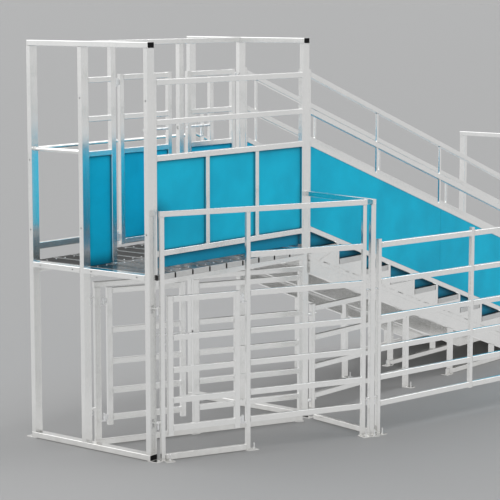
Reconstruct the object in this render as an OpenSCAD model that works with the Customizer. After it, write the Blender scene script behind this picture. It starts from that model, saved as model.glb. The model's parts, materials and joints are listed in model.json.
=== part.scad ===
// Two-level livestock loading ramp.
// A raised deck between two portal frames loads the upper level of a truck, and a
// stepped ramp with framed walls climbs to it. A skewed race under the deck loads the
// lower level. X runs from the truck face to the foot of the ramp, Y from the near side
// to the operator's side, and Z up. All sizes are in millimetres.

/* [Portals] */
// Height of the deck above the ground
deck_h = 1650; // [1550:5:1750]
// Height of the two portal frames
portal_h = 3660; // [3560:5:3900]
// Length of the deck between the portal posts
deck_len = 2125; // [2060:5:2300]
// Clear width of the animal lane
lane_w = 728; // [700:1:760]
// Clear width of the operator's walkway
walk_w = 585; // [480:5:700]
// Size of a portal post along the ramp
post_x = 90; // [70:1:100]
// Size of a portal post across the ramp
post_y = 50; // [46:1:60]
// Width of a portal's top beam
beam_w = 80; // [60:1:90]
// Height of the beams and ground sills
beam_h = 50; // [40:1:60]
// Drop of the lane's upper truck bolt holes below the top beam
lane_hole_drop = 450; // [400:5:500]
// Height of the lane's lower truck bolt holes above the deck
lane_hole_low = 355; // [300:5:400]
// Height of the outer post's upper bolt hole above the deck
far_hole_up = 930; // [880:5:980]
// Height of the outer post's lower bolt hole above the deck
far_hole_low = 293; // [250:1:340]
// Distance from a post to the next dock board hole
board_hole_in = 90; // [70:1:110]
// Radius of the bolt holes
bolt_hole_r = 7; // [5:0.5:9]

/* [Tubes] */
// Wall of the steel tubes
tube_t = 3; // [2:0.5:5]
// Corner radius of the steel tubes
tube_r = 5; // [3.5:0.5:8]
// Root gap left at a welded or seated joint
weld_gap = 0.4; // [0.3:0.05:0.8]

/* [Deck] */
// Thickness of the deck and tread planks
plank_t = 50; // [40:1:60]
// Number of planks across the deck
plank_n = 9; // [7:1:11]
// Gap between two planks
plank_gap = 7; // [3:0.5:12]
// How far planks and treads stand out past the outer posts
plank_over = 20; // [5:1:40]

/* [Walls] */
// Width and height of the wall rails and stiles
wall_tube = 50; // [40:1:55]
// Top of the lower rail above the deck
rail_low = 203; // [180:1:230]
// Height of the rail over the panels, as a part of the headroom
panel_rail_part = 0.528; // [0.5:0.002:0.55]
// Height of the middle rail, as a part of the headroom
mid_rail_part = 0.686; // [0.67:0.002:0.71]
// Height of the top rail, as a part of the headroom
top_rail_part = 0.862; // [0.84:0.002:0.88]
// Width of the end stiles beside the portal posts
end_stile_w = 27; // [20:1:40]
// How far an end stile stands above the top rail
stile_over = 20; // [5:1:40]
// Room between the near wall's last stile and the second gate's bolt, with that gate across the lane
stile_room = 3; // [1:0.5:5]
// Number of panels in the near wall of the deck
near_bays = 3; // [2:1:4]
// Thickness of the panels
panel_t = 10; // [6:0.5:14]
// Room between a panel and the tubes round it
panel_gap = 0.5; // [0.4:0.1:3]
// Open height left between the kick strip and the deck
kick_open = 45; // [20:1:70]

/* [Inner wall] */
// Width of the fixed bay next to the truck portal
fixed_w = 295; // [240:5:330]
// Width of the hinge and latch posts
gate_post_w = 60; // [55:1:70]
// Clear opening of the first gate
opening_a = 875; // [850:5:895]

/* [Guards] */
// Outer diameter of the walkway's guard rails
guard_d = 38; // [30:1:45]
// Height of the hand rail above the deck
hand_rail_h = 1031; // [950:1:1100]
// Height of the middle of the toe rail above the deck
toe_rail_h = 138; // [110:1:170]
// Height of the toe rail's tube
toe_tube_h = 60; // [40:1:70]

/* [Ramp] */
// Depth of the landing between the head portal and the first nosing
landing = 475; // [420:5:560]
// Depth of one step
going = 448; // [400:1:500]
// Number of steps
steps = 11; // [10:1:12]
// Height of the lowest step
toe_h = 80; // [70:1:110]
// Thickness of the risers
riser_t = 42; // [30:1:60]
// Sheet thickness of the pressed risers and the cheek plates
plate_t = 4; // [3:0.5:6]
// Drop from the nosings to the top of the stringers
stringer_drop = 293; // [280:1:320]
// Depth of the stringer channels
stringer_h = 110; // [90:1:130]
// Flange width of the stringer channels
stringer_w = 55; // [45:1:70]
// Sheet thickness of the stringer channels
stringer_t = 6; // [4:0.5:8]
// Length of a cheek slot
slot_l = 105; // [80:1:120]
// Height of a cheek slot
slot_h = 14; // [10:1:16]
// Pitch of the cheek slots along the slope
slot_pitch = 171; // [150:1:200]
// Distance from the stringers to the middle of the slots
slot_up = 46; // [40:1:50]
// Length of the upper section of the ramp walls
ramp_section = 2335; // [2200:5:2450]
// Distance from the head portal to the first stile of the inner ramp wall
inner_stile = 192; // [150:1:240]
// Width of the ramp walls' stiles
ramp_stile = 25; // [20:1:30]
// Distance from the head portal to the first ramp leg
leg_x = 1730; // [1500:5:1800]
// Pitch of the ramp legs
leg_pitch = 860; // [700:5:950]
// Width of the ramp legs
leg_w = 50; // [40:1:60]
// Room between the last nosing and the foot portal
foot_gap = 85; // [50:1:110]
// Height of the foot portal
foot_h = 2430; // [2300:5:2500]
// Width of the foot portal's posts across the ramp
foot_post_y = 75; // [60:1:90]

/* [Race] */
// Angle of the race under the deck
skew = 23.9; // [22:0.1:25]
// Depth of the race's tubes
race_d = 40; // [36:1:46]
// Width of the race's stiles
race_w = 40; // [34:1:46]
// Height of the race's rails
race_rail = 52; // [44:1:60]
// Top of the first rail above the ground
race_1 = 312; // [290:1:330]
// Top of the second rail
race_2 = 560; // [540:1:590]
// Top of the third rail
race_3 = 830; // [800:1:860]
// Top of the fourth rail
race_4 = 1119; // [1090:1:1150]
// Top of the fifth rail
race_5 = 1460; // [1430:1:1480]
// Top of the sixth rail
race_6 = 1804; // [1780:1:1830]
// How much lower the rails of the inner race wall sit
race_drop = 34; // [20:1:45]
// Room between the inner race wall and the deck beams above it
inner_room = 40; // [20:1:55]
// Drop from the top of the inner race wall to its gate's head
leaf_c_drop = 62; // [55:1:80]
// Clear opening of the inner race gate
opening_c = 925; // [900:5:950]
// Width of the inner race gate
leaf_c_w = 783; // [740:1:790]
// Length of the fixed hurdle behind the inner race gate
hurdle_w = 1096; // [1000:5:1120]
// Height of the front panel and the entry frame
front_h = 2210; // [2150:5:2250]
// Clear opening of the man gate
opening_d = 800; // [760:5:820]
// Clearance on the free side of the man gate
man_clear = 30; // [15:1:50]
// Clear length of the railed half of the front panel
front_bay = 1161; // [1100:5:1180]
// Width of the entry post
entry_w = 50; // [46:1:60]

/* [Wing] */
// Angle of the wing fence
wing_skew = 9.5; // [5:0.5:14]
// Clear length of one bay of the wing fence
wing_bay = 1250; // [1100:5:1300]
// Height of the wing fence
wing_h = 1832; // [1820:1:1860]
// How far the wing fence's stiles stand above its top rail
wing_over = 28; // [15:1:40]
// Height of the middle stile's foot above the ground
wing_lift = 255; // [240:1:258]

/* [Gates] */
// Width of a gate stile
gate_w = 50; // [44:1:60]
// Depth of a gate's tubes
gate_d = 40; // [36:1:46]
// Gap between a hinge post and its gate
hinge_gap = 64; // [60:1:76]
// Room between an open upper gate and the near wall
leaf_clear = 15; // [8:1:30]
// Height of the upper gates' feet above the deck
leaf_up = 161; // [140:1:170]
// How far the upper gates stand above the top rail
leaf_over = 12; // [6:1:20]
// Height of the race gates' feet above the ground
race_leaf_up = 222; // [205:1:225]
// Distance from a gate's foot or head to the middle of its hinge
hinge_in = 70; // [62:1:90]
// Distance from the race gate's head to the middle of its upper hinge
race_hinge_in = 120; // [100:1:140]
// Diameter of a hinge pin
pin_d = 16; // [12:0.5:18]
// Radial clearance of a hinge pin in its sleeve
pin_clear = 0.05; // [0.03:0.01:0.09]
// Wall of a hinge sleeve
sleeve_t = 6; // [4:0.5:7]
// Length of a hinge sleeve
sleeve_l = 60; // [50:1:70]
// Sheet thickness of brackets, straps and lugs
strap_t = 8; // [6:0.5:10]

/* [Bolts] */
// Diameter of a slide bolt
bolt_d = 22; // [16:0.5:23]
// Radial clearance of a slide bolt in its guides
bolt_clear = 0.5; // [0.4:0.05:1]
// Radial clearance of a slide bolt in its latch post
latch_clear = 3; // [2:0.5:4]
// How far a shot bolt reaches into the latch post
bolt_bite = 24; // [15:1:26]
// How far a drawn bolt sits inside its stile
bolt_inset = 2; // [1:0.5:3]
// Distance from the gate's stile to the rear guide of the bolt
guide_back = 185; // [175:1:220]
// Length of a bolt's drop handle
handle_l = 95; // [70:1:105]
// Diameter of a bolt's drop handle
handle_d = 14; // [10:0.5:16]
// Height of an upper bolt above the rail over the panels
bolt_up = 145; // [130:1:155]
// Drop of the race gate's bolt below the fourth rail
race_bolt_drop = 60; // [45:1:80]

/* [Feet] */
// Thickness of the foot plates
foot_t = 8; // [6:0.5:12]
// Width of a foot plate
foot_w = 80; // [60:1:84]
// Reach of a foot plate under its tube
foot_in = 38; // [30:1:45]
// Reach of a foot plate past its tube
foot_out = 75; // [65:1:90]
// Distance from the tube to the anchor hole
anchor_out = 45; // [40:1:50]
// Diameter of the anchor studs
stud_d = 12; // [10:0.5:13]
// Height of the anchor studs
stud_h = 62; // [45:1:80]

/* [Connectors] */
// Drop from the top of the inner race wall to the upper connectors
connector_drop = 154; // [130:1:180]
// Reach of a connector lug from its tube to the pin
lug_reach = 22; // [20:1:28]
// Radius of a lug's round end
lug_r = 15; // [13:0.5:17]
// Diameter of a connector pin
drop_pin_d = 14; // [10:0.5:16]
// Radial clearance of a connector pin
drop_pin_clear = 0.5; // [0.4:0.1:1]
// Length of a connector pin below its head
drop_pin_l = 70; // [50:1:90]

/* [Hidden] */
$fn = 32;

steel = "gainsboro";
zinc = "silver";
sheet_blue = "deepskyblue";
plank_grey = "slategray";
plug_black = "black";
// Overlap of cutting shapes past the faces that they cut
cut = 1;

// Lines of the portals along and across the ramp
x_head = post_x + deck_len;
x_land = x_head + post_x;
y_mid = post_y + lane_w;
y_far = y_mid + post_y + walk_w;
width = y_far + post_y;
lines = [0, y_mid, y_far];
origin = [(x_head + post_x) / 2, width / 2, 0];
ground = foot_t + weld_gap;
beam_z = portal_h - beam_h;
deck_under = deck_h - plank_t;

// Slope of the ramp
rise = (deck_h - toe_h) / (steps - 1);
slope = atan(rise / going);
nose_0 = x_land + landing;
nose_end = nose_0 + (steps - 1) * going;
x_foot = nose_end + foot_gap;
function nose_x(k) = nose_0 + k * going;
function nose_z(k) = deck_h - k * rise;
function nose(x) = deck_h + (nose_0 - x) * rise / going;

// Rails of the deck walls above the deck, and the same rails on the slope
head_room = beam_z - deck_h;
rail_panel = head_room * panel_rail_part;
rail_mid = head_room * mid_rail_part;
rail_top = head_room * top_rail_part;
rails = [rail_low, rail_panel, rail_mid, rail_top];
rail_v = wall_tube / cos(slope);
meet = nose(x_land + wall_tube / 2) - deck_h;
slope_tops = [weld_gap + rail_v, rail_panel - meet, rail_mid - meet, rail_top - meet];
x_rails = x_land + end_stile_w;
x_section = x_land + ramp_section;
slope_stiles = [x_land + ramp_section / 2, x_section, (x_section + x_foot) / 2];
wall_in = (post_y - wall_tube) / 2;
kick_in = wall_in + wall_tube - panel_t;
channel_v = stringer_h / cos(slope);
x_ground = nose_end - (stringer_drop + channel_v - toe_h) * going / rise;
leg_list = [for (x = [x_land + leg_x : leg_pitch : x_ground - leg_w]) x];

// Inner wall of the deck, from the truck portal to the head portal
x_hinge_post = post_x + fixed_w;
x_latch_post = x_hinge_post + gate_post_w + opening_a;
hinge_a = [x_hinge_post + gate_post_w + hinge_gap / 2, y_mid + post_y / 2];
hinge_b = [x_head - hinge_gap / 2, y_mid + post_y / 2];
opening_b = x_head - x_latch_post - gate_post_w;
leaf_reach = lane_w + post_y / 2 - leaf_clear - hinge_gap / 2;
leaf_a_w = min(leaf_reach, opening_a - hinge_gap - leaf_clear);
leaf_b_w = min(leaf_reach, opening_b - hinge_gap - leaf_clear);
end_a = hinge_a.x + hinge_gap / 2 + leaf_a_w;
end_b = hinge_b.x - hinge_gap / 2 - leaf_b_w;
leaf_z = deck_h + leaf_up;
leaf_top = deck_h + rail_top + leaf_over;
leaf_rails = [leaf_z + wall_tube, deck_h + rail_panel, deck_h + rail_mid, leaf_top];
bolt_z = deck_h + rail_panel + bolt_up;
throw_a = x_latch_post - end_a + bolt_bite + bolt_inset;
throw_b = end_b - x_latch_post - gate_post_w + bolt_bite + bolt_inset;

// Places along the skewed walls: s runs along the wall and t to its left
function along(p, a, s, t) = p + [s * cos(a) + t * sin(a), t * cos(a) - s * sin(a)];
inner_h = deck_under - beam_h - inner_room;
leaf_c_head = inner_h - leaf_c_drop;
race_rails = [race_1, race_2, race_3, race_4, race_5, race_6];
inner_rails = [for (i = [0 : 4]) race_rails[i] - race_drop];
leaf_c_rails = [for (i = [0 : 4]) i < 4 ? inner_rails[i] : leaf_c_head];
man_rails = [for (i = [0 : 4]) race_rails[i]];
inner_pin = [post_x + lug_reach, y_mid + post_y / 3];
race_in = along(inner_pin, skew, lug_reach, 0);
hinge_c = gate_post_w + hinge_gap / 2;
end_c = gate_post_w + hinge_gap + leaf_c_w;
latch_c = gate_post_w + opening_c;
hurdle_s = latch_c + gate_post_w;
inner_len = hurdle_s + hurdle_w;
throw_c = latch_c - end_c + bolt_bite + bolt_inset;
bolt_c_z = inner_rails[3] - race_rail - race_bolt_drop;
front_pin = [post_x - lug_r - foot_t, -lug_reach - lug_r];
race_front = along(front_pin, skew, lug_reach, 0);
mid_s = race_w + opening_d;
hinge_d = mid_s - hinge_gap / 2;
leaf_d_w = opening_d - hinge_gap - man_clear;
right_s = mid_s + race_w + front_bay;
front_len = right_s + race_w;
entry_s = front_len + 2 * lug_reach + entry_w / 2;
entry_p = along(race_front, skew, entry_s, 0);
head_near = [x_head + post_x / 2, 0];
entry_a = atan2(head_near.y - entry_p.y, head_near.x - entry_p.x);
entry_l = norm(head_near - entry_p);
wing_p = along(entry_p, wing_skew, entry_w / 2 + 2 * lug_reach, 0);
wing_reach = (entry_w / 2 + lug_reach) * cos(skew - wing_skew) - entry_w / 2;
wing_rails = [for (r = race_rails)
    race_1 + (r - race_1) * (wing_h - wing_over - race_1) / (race_6 - race_1)];
wing_mid = race_w + wing_bay;
wing_end = wing_mid + race_w + wing_bay;

// Section of a steel tube with rounded corners
module profile(w, d) {
    difference() {
        union() {
            square([w - 2 * tube_r, d], center = true);
            square([w, d - 2 * tube_r], center = true);
            for (sx = [-1, 1], sy = [-1, 1])
                translate([sx * (w / 2 - tube_r), sy * (d / 2 - tube_r)])
                    circle(tube_r);
        }
        square([w - 2 * tube_t, d - 2 * tube_t], center = true);
    }
}

// Upright tube with its low corner at p
module tube_z(p, w, d, h) {
    translate([p.x + w / 2, p.y + d / 2, p.z + weld_gap])
        linear_extrude(h - 2 * weld_gap)
            profile(w, d);
}

// Tube along X with its low corner at p
module tube_x(p, l, d, h) {
    translate([p.x + weld_gap, p.y + d / 2, p.z + h / 2])
        rotate([90, 0, 90])
            linear_extrude(l - 2 * weld_gap)
                profile(d, h);
}

// Tube along Y with its low corner at p
module tube_y(p, w, l, h) {
    translate([p.x + w / 2, p.y + l - weld_gap, p.z + h / 2])
        rotate([90, 0, 0])
            linear_extrude(l - 2 * weld_gap)
                profile(w, h);
}

// Section of a round pipe
module ring(d) {
    difference() {
        circle(d = d);
        circle(d = d - 2 * tube_t);
    }
}

// Flat sheet parallel to the slope, between two heights above the nosings
module slope_sheet(x0, x1, low, high, y, t) {
    translate([0, y + t, 0])
        rotate([90, 0, 0])
            linear_extrude(t)
                polygon([
                    [x0, nose(x0) + low], [x1, nose(x1) + low],
                    [x1, nose(x1) + high], [x0, nose(x0) + high]
                ]);
}

// Block of space between two places along X
module x_space(x0, x1, y, d) {
    translate([x0, y - cut, -portal_h])
        cube([x1 - x0, d + 2 * cut, 3 * portal_h]);
}

// Tube down the slope with plumb ends, its top at a height above the nosings
module slope_tube(x0, x1, top, y, d, h) {
    intersection() {
        translate([x0, y + d / 2, nose(x0) + top])
            rotate([0, slope, 0])
                translate([-h, 0, -h / 2])
                    rotate([90, 0, 90])
                        linear_extrude((x1 - x0) / cos(slope) + 2 * h)
                            profile(d, h);
        x_space(x0 + weld_gap, x1 - weld_gap, y, d);
    }
}

// Stile between two rails of the slope, its ends cut to the slope
module slope_stile(x, low, high, y, w, d) {
    intersection() {
        tube_z([x - w / 2, y, nose(x) + low - w], w, d, high - low + 2 * w);
        slope_sheet(x - w, x + w, low + weld_gap, high - weld_gap, y - cut, d + 2 * cut);
    }
}

// Upright panel in the XZ plane, clear of the tubes round it
module panel(x0, x1, z0, z1, y) {
    translate([x0 + panel_gap, y, z0 + panel_gap])
        cube([x1 - x0 - 2 * panel_gap, panel_t, z1 - z0 - 2 * panel_gap]);
}

// Frames that the skewed walls are drawn in
module in_race_inner() {
    translate(race_in)
        rotate(-skew)
            children();
}

module in_race_front() {
    translate(race_front)
        rotate(-skew)
            children();
}

module in_wing() {
    translate(wing_p)
        rotate(-wing_skew)
            children();
}

// Foot plate under the end of a tube, pointing away from it
module foot_plate(p, a) {
    translate(p)
        rotate(a)
            difference() {
                translate([-foot_in, -foot_w / 2, 0])
                    cube([foot_in + foot_out, foot_w, foot_t]);
                translate([anchor_out, 0, -cut])
                    cylinder(r = bolt_hole_r, h = foot_t + 2 * cut);
            }
}

// Anchor stud and nut in a foot plate
module anchor_stud(p, a) {
    nut_d = 1.75 * stud_d;
    nut_h = 0.8 * stud_d;
    translate(along(p, -a, anchor_out, 0)) {
        cylinder(d = stud_d, h = stud_h);
        translate([0, 0, foot_t + weld_gap])
            cylinder(d = nut_d, h = nut_h, $fn = 6);
    }
}

// Feet that stay open for anchors, and feet that hold a stud
open_feet = [for (x = [post_x / 2, x_head + post_x / 2], end = [0, 1]) [[x, end * width], end * 180 - 90]];
stud_feet = concat(
    [for (s = [gate_post_w / 2, latch_c + gate_post_w / 2, inner_len - race_w / 2])
        [along(race_in, skew, s, race_d / 2), 90 - skew]],
    [[along(race_front, skew, mid_s + race_w, 0), -skew]],
    [for (s = [foot_w / 2, right_s])
        [along(race_front, skew, s + race_w / 2, -race_d / 2), -90 - skew]],
    [[along(entry_p, skew, 0, -entry_w / 2), -90 - skew]],
    [for (s = [race_w / 2, wing_end + race_w / 2])
        [along(wing_p, wing_skew, s, -race_d / 2), -90 - wing_skew]],
    [for (y = lines) [[leg_list[0], y + post_y / 2 - leg_w / 2], -90]],
    [for (y = lines) [[leg_list[1] - leg_w / 2, y + post_y / 2], 180]],
    [for (y = lines) [[x_foot + post_y, y + post_y / 2], 0]]
);

// Lug with a round end: its pin hole is at p and it reaches back to its tube along a
module lug(p, a, reach, z) {
    translate([p.x, p.y, z])
        rotate(a)
            difference() {
                union() {
                    cylinder(r = lug_r, h = strap_t);
                    translate([0, -lug_r, 0])
                        cube([reach - weld_gap, 2 * lug_r, strap_t]);
                }
                translate([0, 0, -cut])
                    cylinder(d = drop_pin_d + 2 * drop_pin_clear, h = strap_t + 2 * cut);
            }
}

// Pin points of the connectors, with the two directions and reaches of their lugs
connectors = [
    [inner_pin, 180, lug_reach, -skew, lug_reach],
    [front_pin, 90, -front_pin.y, -skew, lug_reach],
    [along(race_front, skew, front_len + lug_reach, 0), 180 - skew, lug_reach, -skew, lug_reach],
    [along(wing_p, wing_skew, -lug_reach, 0), 180 - skew, wing_reach, -wing_skew, lug_reach]
];
connector_z = [race_1 + race_rail / 2, inner_h - connector_drop];

// Parts of a hinge about an upright axis: the post is on the left and the gate on the right
module hinge_bracket(z) {
    half = sleeve_t + pin_d / 2;
    translate([0, 0, z - sleeve_l / 2]) {
        translate([weld_gap - hinge_gap / 2, -half, -strap_t])
            cube([hinge_gap / 2 - weld_gap + half, 2 * half, strap_t]);
        translate([0, 0, -cut])
            cylinder(d = pin_d, h = sleeve_l + pin_d / 2 + cut);
    }
}

module hinge_sleeve(z) {
    bore_r = pin_d / 2 + pin_clear;
    outer_r = bore_r + sleeve_t;
    translate([0, 0, z - sleeve_l / 2 + weld_gap])
        difference() {
            union() {
                cylinder(r = outer_r, h = sleeve_l);
                translate([0, -strap_t / 2, strap_t / 2])
                    cube([hinge_gap / 2 - weld_gap, strap_t, sleeve_l - strap_t]);
            }
            translate([0, 0, -cut])
                cylinder(r = bore_r, h = sleeve_l + 2 * cut);
        }
}

// Frame of a gate from its hinge stile at 0 to its free stile, with rails at the given tops
module leaf_frame(w, z0, z1, tops, h) {
    for (x = [0, w - gate_w])
        tube_z([x, -gate_d / 2, z0], gate_w, gate_d, z1 - z0);
    for (top = tops)
        tube_x([gate_w, -gate_d / 2, top - h], w - 2 * gate_w, gate_d, h);
}

// Hole for a slide bolt along X, through all the uprights of a gate but its hinge stile
module bolt_hole(w, z, r) {
    translate([gate_w + cut, 0, z])
        rotate([0, 90, 0])
            cylinder(r = r, h = w);
}

// Gate frame drilled for a slide bolt, with the flat bar that guides the bolt's tail
module bolted_leaf(w, z0, z1, tops, h, z, low, high) {
    difference() {
        union() {
            leaf_frame(w, z0, z1, tops, h);
            translate([w - gate_w - guide_back, -gate_d / 2, low + weld_gap])
                cube([strap_t, gate_d, high - low - 2 * weld_gap]);
        }
        bolt_hole(w, z, bolt_d / 2 + bolt_clear);
    }
}

// Slide bolt with its drop handle, drawn back into the stile at the free end of a gate
module slide_bolt(w, z, throw) {
    guide_x = w - gate_w - guide_back;
    tail = guide_x - throw - strap_t;
    handle_x = guide_x + 2 * strap_t + handle_d / 2;
    translate([tail, 0, z])
        rotate([0, 90, 0])
            cylinder(d = bolt_d, h = w - bolt_inset - tail);
    translate([handle_x, 0, z - handle_l])
        cylinder(d = handle_d, h = handle_l);
    translate([handle_x, 0, z - handle_l])
        sphere(d = 1.6 * handle_d);
}

// Latch post drilled along X for a slide bolt
module latch_post(p, h, z) {
    difference() {
        tube_z(p, gate_post_w, post_y, h);
        translate([p.x - cut, p.y + post_y / 2, z])
            rotate([0, 90, 0])
                cylinder(d = bolt_d + 2 * latch_clear, h = gate_post_w + 2 * cut);
    }
}

// Portal of three posts on a ground sill, under a top beam
module portal(x) {
    tube_y([x, 0, ground], post_x, width, beam_h);
    for (y = lines)
        tube_z([x, y, ground + beam_h], post_x, post_y, beam_z - ground - beam_h);
    tube_y([x + (post_x - beam_w) / 2, 0, beam_z], beam_w, width, beam_h);
}

// Bolt hole in the truck face of a post
module truck_hole(y, z) {
    translate([-cut, y + post_y / 2, z])
        rotate([0, 90, 0])
            cylinder(r = bolt_hole_r, h = tube_t + 2 * cut);
}

module truck_portal() {
    color(steel)
        difference() {
            portal(0);
            for (y = [0, y_mid], z = [deck_h + lane_hole_low, beam_z - lane_hole_drop])
                truck_hole(y, z);
            for (z = [far_hole_low, far_hole_up])
                truck_hole(y_far, deck_h + z);
        }
}

// Beams between the truck portal's posts, drilled for a dock board
module truck_deck_beams() {
    spans = [[post_y, lane_w], [y_mid + post_y, walk_w]];
    color(steel)
        for (s = spans)
            difference() {
                tube_y([0, s[0], deck_h - beam_h], post_x, s[1], beam_h);
                for (y = [s[0] + board_hole_in, s[0] + s[1] - board_hole_in])
                    translate([-cut, y, deck_h - beam_h / 2])
                        rotate([0, 90, 0])
                            cylinder(r = bolt_hole_r, h = tube_t + 2 * cut);
            }
}

module head_portal() {
    color(steel)
        portal(x_head);
}

module head_deck_beams() {
    color(steel)
        for (s = [[post_y, lane_w], [y_mid + post_y, walk_w]])
            tube_y([x_head, s[0], deck_h - beam_h], post_x, s[1], beam_h);
}

// Beam along the inner wall, between the two top beams
module tie_beam() {
    margin = (post_x - beam_w) / 2;
    color(steel)
        tube_x([post_x - margin, y_mid, beam_z], deck_len + 2 * margin, post_y, beam_h);
}

// Hinge post and latch post of the inner wall
module inner_posts() {
    color(steel) {
        tube_z([x_hinge_post, y_mid, deck_h], gate_post_w, post_y, beam_z - deck_h);
        latch_post([x_latch_post, y_mid, deck_h], beam_z - deck_h, bolt_z);
    }
}

// Plug in the near or far end of a tube along Y
module end_plug(x, z, w, end) {
    head_t = 3;
    neck_l = 20;
    neck_gap = 0.3;
    neck_w = w - 2 * tube_t - 2 * neck_gap;
    neck_h = beam_h - 2 * tube_t - 2 * neck_gap;
    translate([x, end * width, z])
        rotate([90, 0, end * 180]) {
            translate([0, 0, head_t / 2])
                cube([w - tube_t, beam_h - tube_t, head_t], center = true);
            translate([0, 0, -neck_l / 2])
                cube([neck_w, neck_h, neck_l + cut], center = true);
        }
}

// Plugs that close the ends of the top beams and the ground sills
module beam_plugs() {
    color(plug_black)
        for (x = [post_x / 2, x_head + post_x / 2], end = [0, 1]) {
            end_plug(x, beam_z + beam_h / 2, beam_w, end);
            end_plug(x, ground + beam_h / 2, post_x, end);
        }
}

// Beams under the planks, along the three lines of posts
module deck_beams() {
    color(steel)
        for (y = lines)
            tube_x([post_x, y, deck_under - weld_gap - beam_h], deck_len, post_y, beam_h);
}

module deck_planks() {
    pitch = (deck_len - 2 * weld_gap) / plank_n;
    color(plank_grey)
        for (i = [0 : plank_n - 1])
            translate([post_x + weld_gap + i * pitch + plank_gap / 2, -plank_over, deck_under])
                cube([pitch - plank_gap, width + 2 * plank_over, plank_t - weld_gap]);
}

// Near wall of the deck: rails between two end stiles, with stiles between the panels
near_x0 = post_x + end_stile_w;
head_stile_w = (hinge_gap - bolt_d) / 2 - stile_room;
near_x1 = x_head - head_stile_w;
near_bay = (near_x1 - near_x0 - (near_bays - 1) * wall_tube) / near_bays;
near_stiles = [for (i = [1 : near_bays - 1]) near_x0 + i * near_bay + (i - 1) * wall_tube];
module near_wall_frame() {
    color(steel) {
        for (end = [[post_x + weld_gap, end_stile_w], [near_x1, head_stile_w]])
            tube_z([end[0], wall_in, deck_h], end[1] - weld_gap, wall_tube, rail_top + stile_over);
        for (top = rails)
            tube_x([near_x0, wall_in, deck_h + top - wall_tube], near_x1 - near_x0, wall_tube, wall_tube);
        for (x = near_stiles)
            tube_z([x, wall_in, deck_h + rail_low], wall_tube, wall_tube,
                rail_panel - wall_tube - rail_low);
    }
}

module near_wall_panels() {
    color(sheet_blue)
        for (i = [0 : near_bays - 1]) {
            x0 = near_x0 + i * (near_bay + wall_tube);
            panel(x0, x0 + near_bay, deck_h + rail_low, deck_h + rail_panel - wall_tube,
                post_y / 2 - panel_t / 2);
        }
}

module near_wall_kick() {
    color(sheet_blue)
        panel(near_x0, near_x1, deck_h + kick_open, deck_h + rail_low - wall_tube, kick_in);
}

// Fixed bay of the inner wall, between the truck portal and the hinge post
module inner_bay_frame() {
    color(steel)
        for (top = [rail_panel, rail_mid, rail_top])
            tube_x([post_x, y_mid + wall_in, deck_h + top - wall_tube], fixed_w, wall_tube, wall_tube);
}

module inner_bay_panels() {
    color(sheet_blue)
        panel(post_x, x_hinge_post, deck_h, deck_h + rail_panel - wall_tube,
            y_mid + post_y / 2 - panel_t / 2);
}

// Round hand rail and square toe rail on the far side of the walkway
module walkway_guard() {
    color(steel) {
        translate([post_x + weld_gap, y_far + post_y / 2, deck_h + hand_rail_h])
            rotate([0, 90, 0])
                linear_extrude(deck_len - 2 * weld_gap)
                    ring(guard_d);
        tube_x([post_x, y_far + wall_in, deck_h + toe_rail_h - toe_tube_h / 2], deck_len,
            wall_tube, toe_tube_h);
    }
}

// Bar across the truck end of the walkway
module safety_bar() {
    color(steel)
        translate([post_x / 2, y_far - weld_gap, deck_h + hand_rail_h])
            rotate([90, 0, 0])
                linear_extrude(walk_w - 2 * weld_gap)
                    ring(guard_d);
}

// Channels that carry the ramp, cut plumb at the head portal and level at the ground
stringer_y = [-plank_over, y_mid + post_y / 2 - stringer_w / 2, width + plank_over - stringer_w];
module stringer(y, turned) {
    length = (x_ground - x_land) / cos(slope) + 4 * stringer_h;
    web = turned ? stringer_w / 2 - stringer_t / 2 : stringer_t / 2 - stringer_w / 2;
    intersection() {
        translate([x_land, y + stringer_w / 2, nose(x_land) - stringer_drop])
            rotate([0, slope, 0])
                translate([-stringer_h, 0, -stringer_h / 2])
                    rotate([90, 0, 90])
                        linear_extrude(length) {
                            translate([web, 0])
                                square([stringer_t, stringer_h], center = true);
                            for (side = [-1, 1])
                                translate([0, side * (stringer_h - stringer_t) / 2])
                                    square([stringer_w, stringer_t], center = true);
                        }
        translate([x_land + weld_gap, y - cut, ground])
            cube([x_foot - x_land, stringer_w + 2 * cut, portal_h]);
    }
}

module ramp_stringers() {
    color(steel) {
        stringer(stringer_y[0], false);
        stringer(stringer_y[1], false);
        stringer(stringer_y[2], true);
    }
}

// Cheek plates: their teeth carry the treads, and a row of slots follows the slope
module cheek(y) {
    bottom = weld_gap - stringer_drop;
    teeth = [for (k = [0 : steps - 1], end = [0, 1])
        [(k + end == 0 ? x_land + weld_gap : nose_x(k + end - 1) - riser_t - weld_gap),
            nose_z(k) - plank_t - weld_gap]];
    x_last = nose_x(steps - 1) - riser_t - weld_gap;
    x_low = nose_end - (stringer_drop - weld_gap - toe_h + ground) * going / rise;
    outline = concat(teeth, [[x_last, ground], [x_low, ground], [x_land + weld_gap, nose(x_land) + bottom]]);
    row = stringer_drop - slot_up;
    x_stop = nose_end - (stringer_drop - toe_h + ground) * going / rise - slot_l;
    translate([0, y + plate_t, 0])
        rotate([90, 0, 0])
            linear_extrude(plate_t)
                difference() {
                    polygon(outline);
                    for (x = [x_land + slot_l : slot_pitch * cos(slope) : x_stop])
                        translate([x, nose(x) - row])
                            rotate(-slope) {
                                square([slot_l - slot_h, slot_h], center = true);
                                for (side = [-1, 1])
                                    translate([side * (slot_l - slot_h) / 2, 0])
                                        circle(d = slot_h);
                            }
                }
}

module ramp_cheeks() {
    color(steel) {
        cheek(stringer_y[0]);
        cheek(stringer_y[1]);
        cheek(stringer_y[2] + stringer_w - plate_t);
    }
}

module ramp_treads() {
    color(plank_grey)
        for (k = [0 : steps - 1]) {
            x0 = k == 0 ? x_land : nose_x(k - 1);
            x1 = nose_x(k) - riser_t;
            translate([x0 + weld_gap, -plank_over, nose_z(k) - plank_t])
                cube([x1 - x0 - 2 * weld_gap, width + 2 * plank_over, plank_t]);
        }
}

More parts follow.
